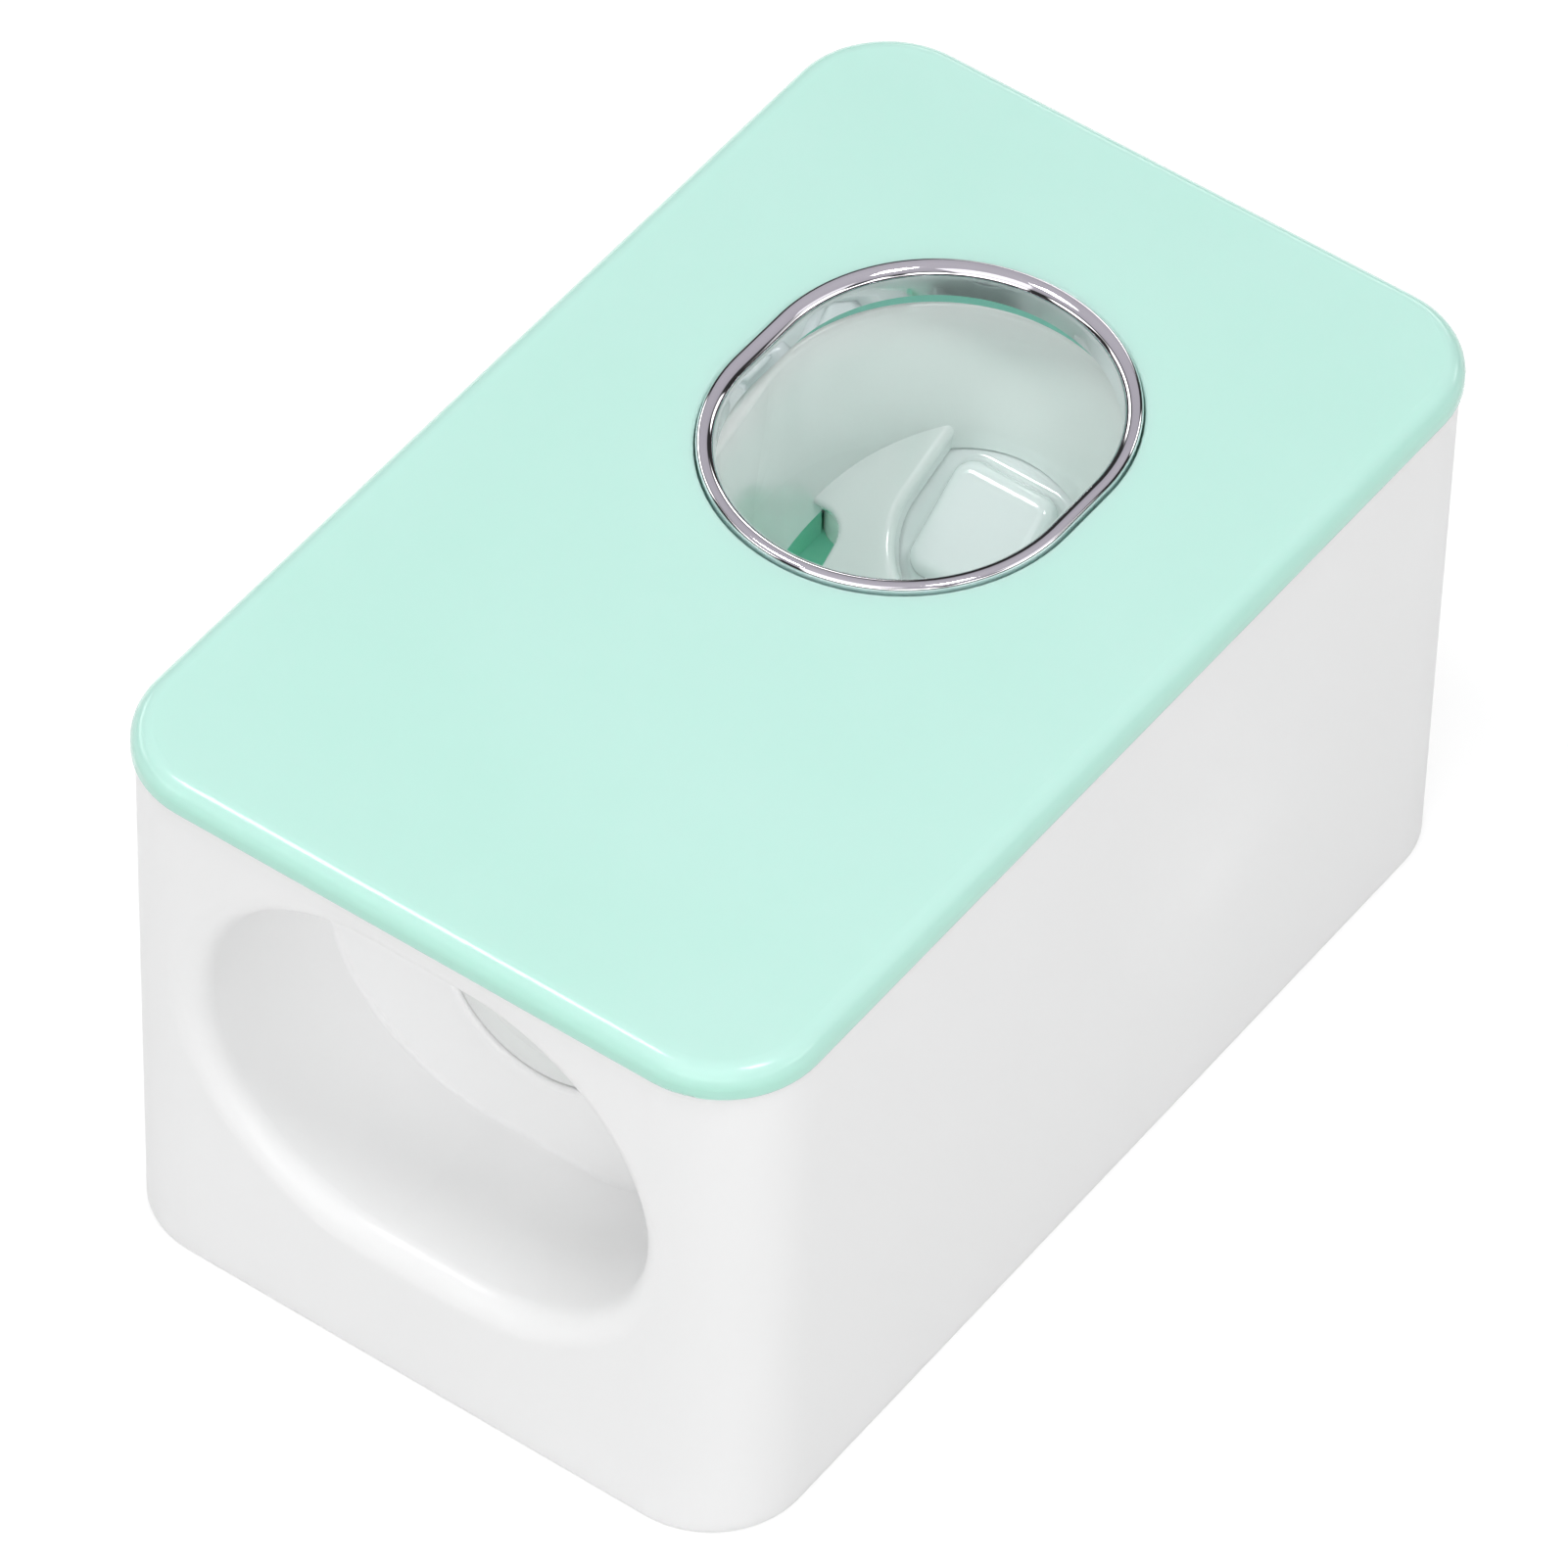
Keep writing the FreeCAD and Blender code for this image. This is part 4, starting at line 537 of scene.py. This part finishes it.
def soft_silicone(name, first, second):
    """Milky silicone: light scatters in it, and its skin is dull and finely pitted."""
    finish, tree, shader = new_finish(name)
    place = object_place(tree)
    cloud = noise(tree, place, MILK_SCALE, detail=3.0)
    pits = noise(tree, place, PIT_SCALE, detail=3.0)
    tree.links.new(drift(tree, cloud, first, second), shader.inputs["Base Color"])
    tree.links.new(spread(tree, pits, *SILICONE_ROUGHNESS), shader.inputs["Roughness"])
    tree.links.new(relief(tree, pits, PIT_STRENGTH, PIT_HEIGHT), shader.inputs["Normal"])
    let_light_in(shader, SEAL_SCATTER, SEAL_REACH)
    shader.inputs["IOR"].default_value = SILICONE_IOR
    return finish


def matt_rubber(name, first, second):
    """Dark rubber with a pale bloom and a grainy skin."""
    finish, tree, shader = new_finish(name)
    place = object_place(tree)
    bloom = noise(tree, place, BLOOM_SCALE, detail=4.0)
    grain = noise(tree, place, GRAIN_SCALE, detail=3.0)
    tree.links.new(drift(tree, bloom, first, second), shader.inputs["Base Color"])
    tree.links.new(spread(tree, bloom, *RUBBER_ROUGHNESS), shader.inputs["Roughness"])
    tree.links.new(relief(tree, grain, GRAIN_STRENGTH, GRAIN_HEIGHT), shader.inputs["Normal"])
    return finish


def worked_steel(name, first, second, stretch, roughness):
    """Drawn, ground or plated steel: fine lines along one way, in its colour, gloss and relief."""
    finish, tree, shader = new_finish(name)
    place = object_place(tree, stretch)
    lines = noise(tree, place, LINE_SCALE, detail=4.0)
    tree.links.new(drift(tree, lines, first, second), shader.inputs["Base Color"])
    dullness = spread(tree, lines, roughness - STEEL_SWING, roughness + STEEL_SWING)
    tree.links.new(dullness, shader.inputs["Roughness"])
    tree.links.new(relief(tree, lines, LINE_STRENGTH, LINE_HEIGHT), shader.inputs["Normal"])
    shader.inputs["Metallic"].default_value = 1.0
    return finish


def coat_nodes(finish, *nodes):
    """Gives CAD nodes one finish."""
    for node in nodes:
        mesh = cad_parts[node].data
        mesh.materials.clear()
        mesh.materials.append(finish)


def start_piece():
    """Leaves nothing selected, so that the next operator acts on the new piece alone."""
    bpy.ops.object.select_all(action="DESELECT")


def pick_faces(piece, wanted):
    """Selects the faces in edit mode whose middle and normal pass the test."""
    bpy.ops.mesh.select_mode(type="FACE")
    bpy.ops.mesh.select_all(action="DESELECT")
    mesh = bmesh.from_edit_mesh(piece.data)
    found = [face for face in mesh.faces if wanted(face.calc_center_median(), face.normal)]
    if not found:
        raise RuntimeError(f"{piece.name} has no face to work on")
    for face in found:
        face.select_set(True)
    bmesh.update_edit_mesh(piece.data)


def pick_points(piece, wanted):
    """Selects the points in edit mode whose place passes the test."""
    bpy.ops.mesh.select_mode(type="VERT")
    bpy.ops.mesh.select_all(action="DESELECT")
    mesh = bmesh.from_edit_mesh(piece.data)
    found = [point for point in mesh.verts if wanted(point.co)]
    if not found:
        raise RuntimeError(f"{piece.name} has no point to work on")
    for point in found:
        point.select_set(True)
    mesh.select_flush(True)
    bmesh.update_edit_mesh(piece.data)


def start_profile(name, inner, outer, low, high):
    """An upright rectangle beside the Z axis, in edit mode."""
    start_piece()
    bpy.ops.mesh.primitive_plane_add(
        size=1.0, location=((inner + outer) / 2.0, 0.0, (low + high) / 2.0),
        rotation=(math.pi / 2.0, 0.0, 0.0))
    profile = bpy.context.active_object
    profile.name = name
    profile.scale = (outer - inner, high - low, 1.0)
    bpy.ops.object.transform_apply(location=True, rotation=True, scale=True)
    bpy.ops.object.mode_set(mode="EDIT")
    return profile


def round_corner(profile, x, z, radius):
    """Rounds the corner of a profile that stands at x and z."""
    pick_points(profile, lambda point: abs(point.x - x) < CLOSE and abs(point.z - z) < CLOSE)
    bpy.ops.mesh.bevel(offset=radius, segments=CORNER_SEGMENTS, affect="VERTICES")


def sweep_oblong(profile, steps):
    """Sweeps a profile round the opening: half a turn about each end, and straight sides between."""
    low, high = RING_BOX
    middle = (low.y + high.y) / 2.0
    straight = high.y - middle - high.x
    bpy.ops.mesh.select_all(action="SELECT")
    bpy.ops.mesh.dissolve_faces()
    bpy.ops.mesh.select_all(action="SELECT")
    bpy.ops.mesh.delete(type="ONLY_FACE")
    bpy.ops.object.mode_set(mode="OBJECT")
    profile.rotation_euler = (0.0, 0.0, math.pi / steps)
    bpy.ops.object.transform_apply(location=True, rotation=True, scale=True)
    winding = profile.modifiers.new("sweep", "SCREW")
    winding.axis = "Z"
    winding.angle = WHOLE_TURN
    winding.steps = steps
    winding.render_steps = steps
    winding.use_merge_vertices = True
    winding.merge_threshold = CLOSE
    bpy.ops.object.modifier_apply(modifier=winding.name)
    bpy.ops.object.mode_set(mode="EDIT")
    pick_points(profile, lambda point: point.y > 0.0)
    bpy.ops.transform.translate(value=(0.0, straight, 0.0))
    pick_points(profile, lambda point: point.y < 0.0)
    bpy.ops.transform.translate(value=(0.0, -straight, 0.0))
    bpy.ops.mesh.select_all(action="SELECT")
    bpy.ops.mesh.normals_make_consistent(inside=False)
    bpy.ops.object.mode_set(mode="OBJECT")
    profile.location = (0.0, middle, 0.0)
    settle(profile)
    bpy.ops.object.shade_smooth_by_angle(angle=SMOOTH_ANGLE)


def settle(piece):
    """Puts the place of a finished piece into its mesh."""
    start_piece()
    piece.select_set(True)
    bpy.context.view_layer.objects.active = piece
    bpy.ops.object.transform_apply(location=True, rotation=True, scale=True)


class DISPENSER_OT_shell(bpy.types.Operator):
    """Finishes the front cover, the housing and the rear cover"""

    bl_idname = "dispenser.shell"
    bl_label = "Finish the shell"

    def execute(self, context):
        look = settings(context).shell
        top = COVER_BOX[1].z
        # Painted shade on the cover's rim: below the top, the mint turns to the darker rim mint.
        rim = (look.mint_rim_shade, top - look.rim_shade_height, top)
        coat_nodes(moulded_plastic("mint_cover", look.mint, look.mint_deep, look.cover_gloss,
                                   peel=0.05, coat=0.3, glow=0.4, rim=rim, shine=0.3),
                   "front_cover")
        coat_nodes(moulded_plastic("white_shell", look.white, look.white_warm, look.housing_gloss,
                                   peel=0.06, glow=0.15),
                   "housing")
        # The darker back mint paints in the shade inside the case.
        coat_nodes(moulded_plastic("mint_back", look.shaded_back_mint, look.shaded_back_mint_deep, roughness=0.42,
                                   peel=0.14, glow=0.3),
                   "rear_cover")
        return {"FINISHED"}


class DISPENSER_OT_ring(bpy.types.Operator):
    """Rolls and plates the trim ring"""

    bl_idname = "dispenser.ring"
    bl_label = "Roll the ring"

    def execute(self, context):
        look = settings(context).ring
        size = settings(context).ring_sizes
        low, high = RING_BOX
        outer = high.x
        inner = outer - size.band
        seat = high.z - size.lip_height
        ring = start_profile("rolled_ring", inner, outer, seat, high.z)
        pick_points(ring, lambda point: point.z < seat + CLOSE)
        bpy.ops.mesh.extrude_region_move(TRANSFORM_OT_translate={"value": (0.0, 0.0, -SLIVER)})
        pick_points(ring, lambda point: point.z < seat - CLOSE and point.x > outer - CLOSE)
        bpy.ops.transform.translate(value=(-size.shoulder, 0.0, 0.0))
        pick_points(ring, lambda point: point.z < seat - CLOSE)
        bpy.ops.mesh.extrude_region_move(
            TRANSFORM_OT_translate={"value": (0.0, 0.0, low.z - seat + SLIVER)})
        round_corner(ring, outer, high.z, size.outer_roll)
        round_corner(ring, inner, high.z, size.inner_roll)
        sweep_oblong(ring, size.steps)
        plating = bright_plating("bright_ring", look.plate, look.plate_grey)
        coat_nodes(plating, "trim_ring")
        ring.data.materials.append(plating)
        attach(ring, "case")
        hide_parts("trim_ring")
        return {"FINISHED"}


class DISPENSER_OT_skirt(bpy.types.Operator):
    """Makes the cover's short skirt round the opening, under the ring"""

    bl_idname = "dispenser.skirt"
    bl_label = "Make the skirt"

    def execute(self, context):
        look = settings(context).shell
        size = settings(context).ring_sizes
        top = COVER_BOX[1].z
        inner = RING_BOX[1].x - size.shoulder + size.skirt_gap
        outer = inner + size.skirt_wall
        foot = top - size.skirt_foot
        skirt = start_profile("opening_skirt", inner, outer, foot, top - size.skirt_top)
        for edge in (inner, outer):
            round_corner(skirt, edge, foot, size.skirt_wall * SKIRT_ROUND_SHARE)
        sweep_oblong(skirt, size.steps)
        # The darker skirt mint paints in the shadow under the ring.
        skirt.data.materials.append(
            moulded_plastic("skirt_mint", look.skirt_mint, look.shaded_skirt_mint_deep, look.cover_gloss, peel=0.05))
        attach(skirt, "case")
        return {"FINISHED"}


class DISPENSER_OT_chamber(bpy.types.Operator):
    """Finishes the brush chamber, the lever and the nozzle"""

    bl_idname = "dispenser.chamber"
    bl_label = "Finish the chamber"

    def execute(self, context):
        look = settings(context).shell
        top = CHAMBER_BOX[1].z
        # Painted highlight on the chamber's rim: near the top, the inner white turns whiter.
        rim = (look.inner_rim_highlight, top, top - look.inner_rim_highlight_height)
        coat_nodes(moulded_plastic("chamber_white", look.inner_white, look.inner_white_deep, roughness=0.20,
                                   peel=0.05, coat=1.0, rim=rim),
                   "brush_chamber")
        # The darker lever white paints in the shade deep in the bowl.
        coat_nodes(moulded_plastic("lever_white", look.lever_white, look.shaded_lever_white_deep, roughness=0.16,
                                   peel=0.04, coat=1.0),
                   "push_lever", "nozzle")
        return {"FINISHED"}


class DISPENSER_OT_pump(bpy.types.Operator):
    """Finishes the pump's plastic, silicone and rubber"""

    bl_idname = "dispenser.pump"
    bl_label = "Finish the pump"

    def execute(self, context):
        look = settings(context).pump
        coat_nodes(moulded_plastic("acetal", look.acetal, look.acetal_shade, roughness=0.36, peel=0.12),
                   "pump_body", "cylinder_cap", "plunger")
        coat_nodes(soft_silicone("silicone", look.silicone, look.silicone_shade),
                   "inlet_seal", "piston_cup", "inlet_valve", "outlet_valve")
        coat_nodes(matt_rubber("stop_rubber", look.rubber, look.rubber_dust), "stop_pad")
        return {"FINISHED"}


class DISPENSER_OT_steel(bpy.types.Operator):
    """Finishes the pin, its clips and the hidden screws"""

    bl_idname = "dispenser.steel"
    bl_label = "Finish the steel"

    def execute(self, context):
        look = settings(context).pump
        coat_nodes(worked_steel("ground_steel", look.steel, look.steel_dark,
                                stretch=(8.0, 1.0, 1.0), roughness=0.24),
                   "lever_pin")
        coat_nodes(worked_steel("clip_steel", look.steel, look.steel_dark,
                                stretch=(1.0, 1.0, 6.0), roughness=0.32),
                   "pin_clips")
        coat_nodes(worked_steel("zinc_plate", look.zinc, look.zinc_dull,
                                stretch=(1.0, 1.0, 0.4), roughness=0.30),
                   "chamber_screws", "pump_screws", "rear_screws")
        return {"FINISHED"}


class DISPENSER_OT_rear_screws(bpy.types.Operator):
    """Makes the four cross-head screws in the back"""

    bl_idname = "dispenser.rear_screws"
    bl_label = "Make the rear screws"

    def model_screw(self, size, bottom, top):
        """One screw about the Z axis, head down."""
        start_piece()
        bpy.ops.mesh.primitive_cylinder_add(
            vertices=SCREW_SIDES, radius=size.head_radius, depth=size.head_height,
            location=(0.0, 0.0, bottom + size.head_height / 2.0))
        screw = bpy.context.active_object
        screw.name = "rear_cross_screws"
        bpy.ops.object.mode_set(mode="EDIT")
        pick_faces(screw, lambda middle, normal: normal.z < -FACING)
        bpy.ops.mesh.region_to_loop()
        bpy.ops.mesh.bevel(offset=size.crown, segments=CROWN_SEGMENTS, profile=0.5, affect="EDGES")
        pick_faces(screw, lambda middle, normal: normal.z > FACING)
        bpy.ops.mesh.inset(thickness=size.head_radius - size.shank_radius)
        bpy.ops.mesh.extrude_region_move(
            TRANSFORM_OT_translate={"value": (0.0, 0.0, top - bottom - size.head_height)})
        bpy.ops.mesh.bevel(offset=size.shank_radius * TIP_SHARE, segments=TIP_SEGMENTS, affect="EDGES")
        bpy.ops.object.mode_set(mode="OBJECT")
        return screw

    def cut_cross(self, screw, size, bottom):
        """Cuts the two arms of the recess into the head."""
        for turn in (0.0, math.pi / 2.0):
            start_piece()
            bpy.ops.mesh.primitive_cube_add(size=1.0, location=(0.0, 0.0, bottom), rotation=(0.0, 0.0, turn))
            arm = bpy.context.active_object
            arm.scale = (size.slot_length, size.slot_width, 2.0 * size.slot_depth)
            bpy.ops.object.transform_apply(location=True, rotation=True, scale=True)
            start_piece()
            screw.select_set(True)
            bpy.context.view_layer.objects.active = screw
            cut = screw.modifiers.new("cross", "BOOLEAN")
            cut.operation = "DIFFERENCE"
            cut.solver = "EXACT"
            cut.object = arm
            bpy.ops.object.modifier_apply(modifier=cut.name)
            bpy.data.objects.remove(arm)

    def execute(self, context):
        size = settings(context).screws
        low, high = SCREW_BOX
        screw = self.model_screw(size, low.z, high.z)
        self.cut_cross(screw, size, low.z)
        settle(screw)
        reach = Vector((high.x - size.head_radius, high.y - size.head_radius, 0.0))
        copies = []
        for across, along, turn in SCREW_CORNERS:
            copy = screw.copy()
            copy.data = screw.data.copy()
            bpy.context.scene.collection.objects.link(copy)
            place = Matrix.Translation((across * reach.x, along * reach.y, 0.0))
            copy.data.transform(place @ Matrix.Rotation(turn, 4, "Z"))
            copies.append(copy)
        bpy.data.objects.remove(screw)
        start_piece()
        for copy in copies:
            copy.select_set(True)
        bpy.context.view_layer.objects.active = copies[0]
        bpy.ops.object.join()
        screws = bpy.context.active_object
        screws.name = "rear_cross_screws"
        bpy.ops.object.shade_smooth_by_angle(angle=SMOOTH_ANGLE)
        screws.data.materials.clear()
        screws.data.materials.append(bpy.data.materials["zinc_plate"])
        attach(screws, "case")
        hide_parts("rear_screws")
        return {"FINISHED"}


class DISPENSER_OT_return_spring(bpy.types.Operator):
    """Winds the return spring"""

    bl_idname = "dispenser.return_spring"
    bl_label = "Wind the return spring"

    def execute(self, context):
        size = settings(context).spring
        look = settings(context).pump
        low, high = SPRING_BOX
        middle = (low + high) / 2.0
        mean_radius = (high.x - low.x) / 2.0 - size.wire_radius
        rise = high.z - low.z - 2.0 * size.wire_radius
        start_piece()
        bpy.ops.mesh.primitive_circle_add(
            vertices=WIRE_SIDES, radius=size.wire_radius, fill_type="NOTHING",
            rotation=(math.pi / 2.0, 0.0, 0.0))
        spring = bpy.context.active_object
        spring.name = "wound_spring"
        bpy.ops.object.transform_apply(location=True, rotation=True, scale=True)
        bpy.ops.object.mode_set(mode="EDIT")
        bpy.ops.mesh.select_all(action="SELECT")
        bpy.ops.transform.translate(value=(mean_radius, 0.0, 0.0))
        bpy.ops.object.mode_set(mode="OBJECT")
        winding = spring.modifiers.new("winding", "SCREW")
        winding.axis = "Z"
        winding.angle = WHOLE_TURN
        winding.screw_offset = rise / size.turns
        winding.iterations = size.turns
        winding.steps = size.steps
        winding.render_steps = size.steps
        bpy.ops.object.modifier_apply(modifier=winding.name)
        spring.location = (middle.x, middle.y, low.z + size.wire_radius)
        bpy.ops.object.mode_set(mode="EDIT")
        bpy.ops.mesh.select_all(action="SELECT")
        bpy.ops.mesh.remove_doubles(threshold=CLOSE)
        bpy.ops.mesh.select_all(action="SELECT")
        bpy.ops.mesh.fill_holes(sides=0)
        bpy.ops.mesh.select_all(action="SELECT")
        bpy.ops.mesh.normals_make_consistent(inside=False)
        bpy.ops.object.mode_set(mode="OBJECT")
        settle(spring)
        bpy.ops.object.shade_smooth_by_angle(angle=WIRE_SMOOTH_ANGLE)
        wire = worked_steel("spring_wire", look.steel, look.steel_dark,
                            stretch=(1.0, 1.0, 5.0), roughness=0.30)
        spring.data.materials.append(wire)
        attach(spring, "plunger")
        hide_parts("return_spring")
        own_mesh(spring)
        return {"FINISHED"}


class DISPENSER_OT_stage(bpy.types.Operator):
    """Sets the floor, the light and the camera"""

    bl_idname = "dispenser.stage"
    bl_label = "Set the stage"

    def seen_directly(self, tree):
        """1 for rays from the camera and for mirror-like and see-through rays, and 0 for light."""
        path = tree.nodes.new("ShaderNodeLightPath")
        first = tree.nodes.new("ShaderNodeMath")
        first.operation = "MAXIMUM"
        tree.links.new(path.outputs["Is Camera Ray"], first.inputs[0])
        tree.links.new(path.outputs["Is Glossy Ray"], first.inputs[1])
        both = tree.nodes.new("ShaderNodeMath")
        both.operation = "MAXIMUM"
        tree.links.new(first.outputs[0], both.inputs[0])
        tree.links.new(path.outputs["Is Transmission Ray"], both.inputs[1])
        return both.outputs[0]

    def bands(self, tree, height, stops):
        """Shades in level bands, from the foot of the walls up to the middle of the ceiling."""
        ramp = tree.nodes.new("ShaderNodeValToRGB")
        elements = ramp.color_ramp.elements
        for element, (level, shade) in zip((elements[0], elements[1]), (stops[0], stops[-1])):
            element.position = level
            element.color = with_alpha(shade)
        for level, shade in stops[1:-1]:
            elements.new(level).color = with_alpha(shade)
        tree.links.new(height, ramp.inputs["Fac"])
        return ramp.outputs["Color"]

    def combine(self, tree, way, first, second):
        """Two colours multiplied or added."""
        both = tree.nodes.new("ShaderNodeMix")
        both.data_type = "RGBA"
        both.blend_type = way
        both.inputs["Factor"].default_value = 1.0
        tree.links.new(first, both.inputs["A"])
        tree.links.new(second, both.inputs["B"])
        return both.outputs["Result"]

    def mirrored_room(self, tree):
        """What bright surfaces mirror: dark walls, a broken row of soft boxes and a grey ceiling."""
        coordinates = tree.nodes.new("ShaderNodeTexCoord")
        parts = tree.nodes.new("ShaderNodeSeparateXYZ")
        tree.links.new(coordinates.outputs["Generated"], parts.inputs["Vector"])
        patches = noise(tree, coordinates.outputs["Generated"], BOX_GAP_SCALE, detail=0.0)
        gaps = spread(tree, patches, 0.0, 1.0, *BOX_GAP_EDGES)
        boxes = self.combine(tree, "MULTIPLY", self.bands(tree, parts.outputs["Z"], SOFT_BOXES), gaps)
        return self.combine(tree, "ADD", self.bands(tree, parts.outputs["Z"], CEILING), boxes)

    def light_room(self, scene, look):
        """Even light all round, a room for bright surfaces to mirror, and a white backdrop."""
        world = bpy.data.worlds.new("studio_room")
        scene.world = world
        world.use_nodes = True
        tree = world.node_tree
        tree.nodes.clear()
        output = tree.nodes.new("ShaderNodeOutputWorld")
        lit = tree.nodes.new("ShaderNodeBackground")
        lit.inputs["Color"].default_value = WHITE_LIGHT
        lit.inputs["Strength"].default_value = look.room_light
        shown = tree.nodes.new("ShaderNodeBackground")
        shown.inputs["Strength"].default_value = look.mirror_light
        tree.links.new(self.mirrored_room(tree), shown.inputs["Color"])
        choice = tree.nodes.new("ShaderNodeMixShader")
        tree.links.new(self.seen_directly(tree), choice.inputs["Fac"])
        tree.links.new(lit.outputs[0], choice.inputs[1])
        tree.links.new(shown.outputs[0], choice.inputs[2])
        backdrop = tree.nodes.new("ShaderNodeBackground")
        backdrop.inputs["Color"].default_value = WHITE_LIGHT
        path = tree.nodes.new("ShaderNodeLightPath")
        view = tree.nodes.new("ShaderNodeMixShader")
        tree.links.new(path.outputs["Is Camera Ray"], view.inputs["Fac"])
        tree.links.new(choice.outputs[0], view.inputs[1])
        tree.links.new(backdrop.outputs[0], view.inputs[2])
        tree.links.new(view.outputs[0], output.inputs["Surface"])

    def lay_floor(self, look):
        """A pale floor that shows white and keeps the shadow."""
        start_piece()
        bpy.ops.mesh.primitive_plane_add(size=look.floor_size, location=(0.0, 0.0, -look.floor_gap))
        floor = bpy.context.active_object
        floor.name = "studio_floor"
        paper = bpy.data.materials.new("floor_paper")
        paper.use_nodes = True
        tree = paper.node_tree
        tree.nodes.clear()
        output = tree.nodes.new("ShaderNodeOutputMaterial")
        matt = tree.nodes.new("ShaderNodeBsdfDiffuse")
        matt.inputs["Color"].default_value = with_alpha(look.floor_white)
        glow = tree.nodes.new("ShaderNodeEmission")
        lift = tree.nodes.new("ShaderNodeMath")
        lift.operation = "MULTIPLY"
        lift.inputs[1].default_value = look.floor_lift
        tree.links.new(self.seen_directly(tree), lift.inputs[0])
        tree.links.new(lift.outputs[0], glow.inputs["Strength"])
        both = tree.nodes.new("ShaderNodeAddShader")
        tree.links.new(matt.outputs[0], both.inputs[0])
        tree.links.new(glow.outputs[0], both.inputs[1])
        tree.links.new(both.outputs[0], output.inputs["Surface"])
        floor.data.materials.append(paper)

    def hang_lamp(self, name, power, size, place, target, mirrored):
        """A square soft box that looks at a point, and that glossy surfaces may mirror."""
        lamp = bpy.data.lights.new(name, "AREA")
        lamp.energy = power
        lamp.size = size
        holder = bpy.data.objects.new(name, lamp)
        holder.location = place
        holder.rotation_euler = (Vector(target) - Vector(place)).to_track_quat("-Z", "Y").to_euler()
        holder.visible_glossy = mirrored
        bpy.context.scene.collection.objects.link(holder)

    def hang_glow(self, name, power, place):
        """A small glow that isn't seen itself."""
        lamp = bpy.data.lights.new(name, "POINT")
        lamp.energy = power
        lamp.shadow_soft_size = GLOW_RADIUS
        holder = bpy.data.objects.new(name, lamp)
        holder.location = place
        holder.visible_camera = False
        holder.visible_glossy = False
        bpy.context.scene.collection.objects.link(holder)

    def set_camera(self, scene, look):
        """The camera at the photograph's place."""
        flat = math.cos(look.elevation)
        back = Vector((
            math.sin(look.azimuth) * flat, -math.cos(look.azimuth) * flat, math.sin(look.elevation)))
        right = Vector((0.0, 0.0, 1.0)).cross(back).normalized()
        up = back.cross(right)
        right_rolled = math.cos(look.roll) * right + math.sin(look.roll) * up
        up_rolled = math.cos(look.roll) * up - math.sin(look.roll) * right
        lens = bpy.data.cameras.new("product_camera")
        lens.sensor_width = 36.0
        lens.lens = look.lens
        lens.clip_start = 0.01
        lens.clip_end = 20.0
        camera = bpy.data.objects.new("product_camera", lens)
        turn = Matrix((right_rolled, up_rolled, back)).transposed().to_4x4()
        camera.matrix_world = Matrix.Translation(look.place) @ turn
        scene.collection.objects.link(camera)
        scene.camera = camera

    def execute(self, context):
        scene = context.scene
        look = settings(context).studio
        scene.view_settings.view_transform = "Standard"
        self.light_room(scene, look)
        self.lay_floor(look)
        for name, power, size, place, target, mirrored in LAMPS:
            self.hang_lamp(name, getattr(look, power), size, place, target, mirrored)
        for name, place in GLOWS:
            self.hang_glow(name, look.inner_power, place)
        self.set_camera(scene, look)
        return {"FINISHED"}


class DISPENSER_PT_panel(bpy.types.Panel):
    """Lists the steps of the dispenser's finish"""

    bl_idname = "DISPENSER_PT_panel"
    bl_label = "Dispenser"
    bl_space_type = "VIEW_3D"
    bl_region_type = "UI"
    bl_category = "Dispenser"

    def draw(self, context):
        column = self.layout.column()
        for step in STEPS:
            column.operator(step.bl_idname)


GROUPS = (ShellFinish, RingFinish, PumpFinish, RingSizes, ScrewSizes, SpringSizes, StudioSettings,
          DispenserSettings)
STEPS = (DISPENSER_OT_shell, DISPENSER_OT_ring, DISPENSER_OT_skirt, DISPENSER_OT_chamber, DISPENSER_OT_pump,
         DISPENSER_OT_steel, DISPENSER_OT_rear_screws, DISPENSER_OT_return_spring, DISPENSER_OT_stage)
CLASSES = (*GROUPS, *STEPS, DISPENSER_PT_panel)


def register():
    """Adds the classes and the scene's settings."""
    for group in CLASSES:
        bpy.utils.register_class(group)
    bpy.types.Scene.dispenser = bpy.props.PointerProperty(
        name="Dispenser", description="Settings of the dispenser", type=DispenserSettings)


def unregister():
    """Takes the classes and the scene's settings away."""
    del bpy.types.Scene.dispenser
    for group in reversed(CLASSES):
        bpy.utils.unregister_class(group)


def main():
    """Runs every step in order."""
    register()
    bpy.ops.dispenser.shell()
    bpy.ops.dispenser.ring()
    bpy.ops.dispenser.skirt()
    bpy.ops.dispenser.chamber()
    bpy.ops.dispenser.pump()
    bpy.ops.dispenser.steel()
    bpy.ops.dispenser.rear_screws()
    bpy.ops.dispenser.return_spring()
    bpy.ops.dispenser.stage()


if __name__ == "__main__":
    main()
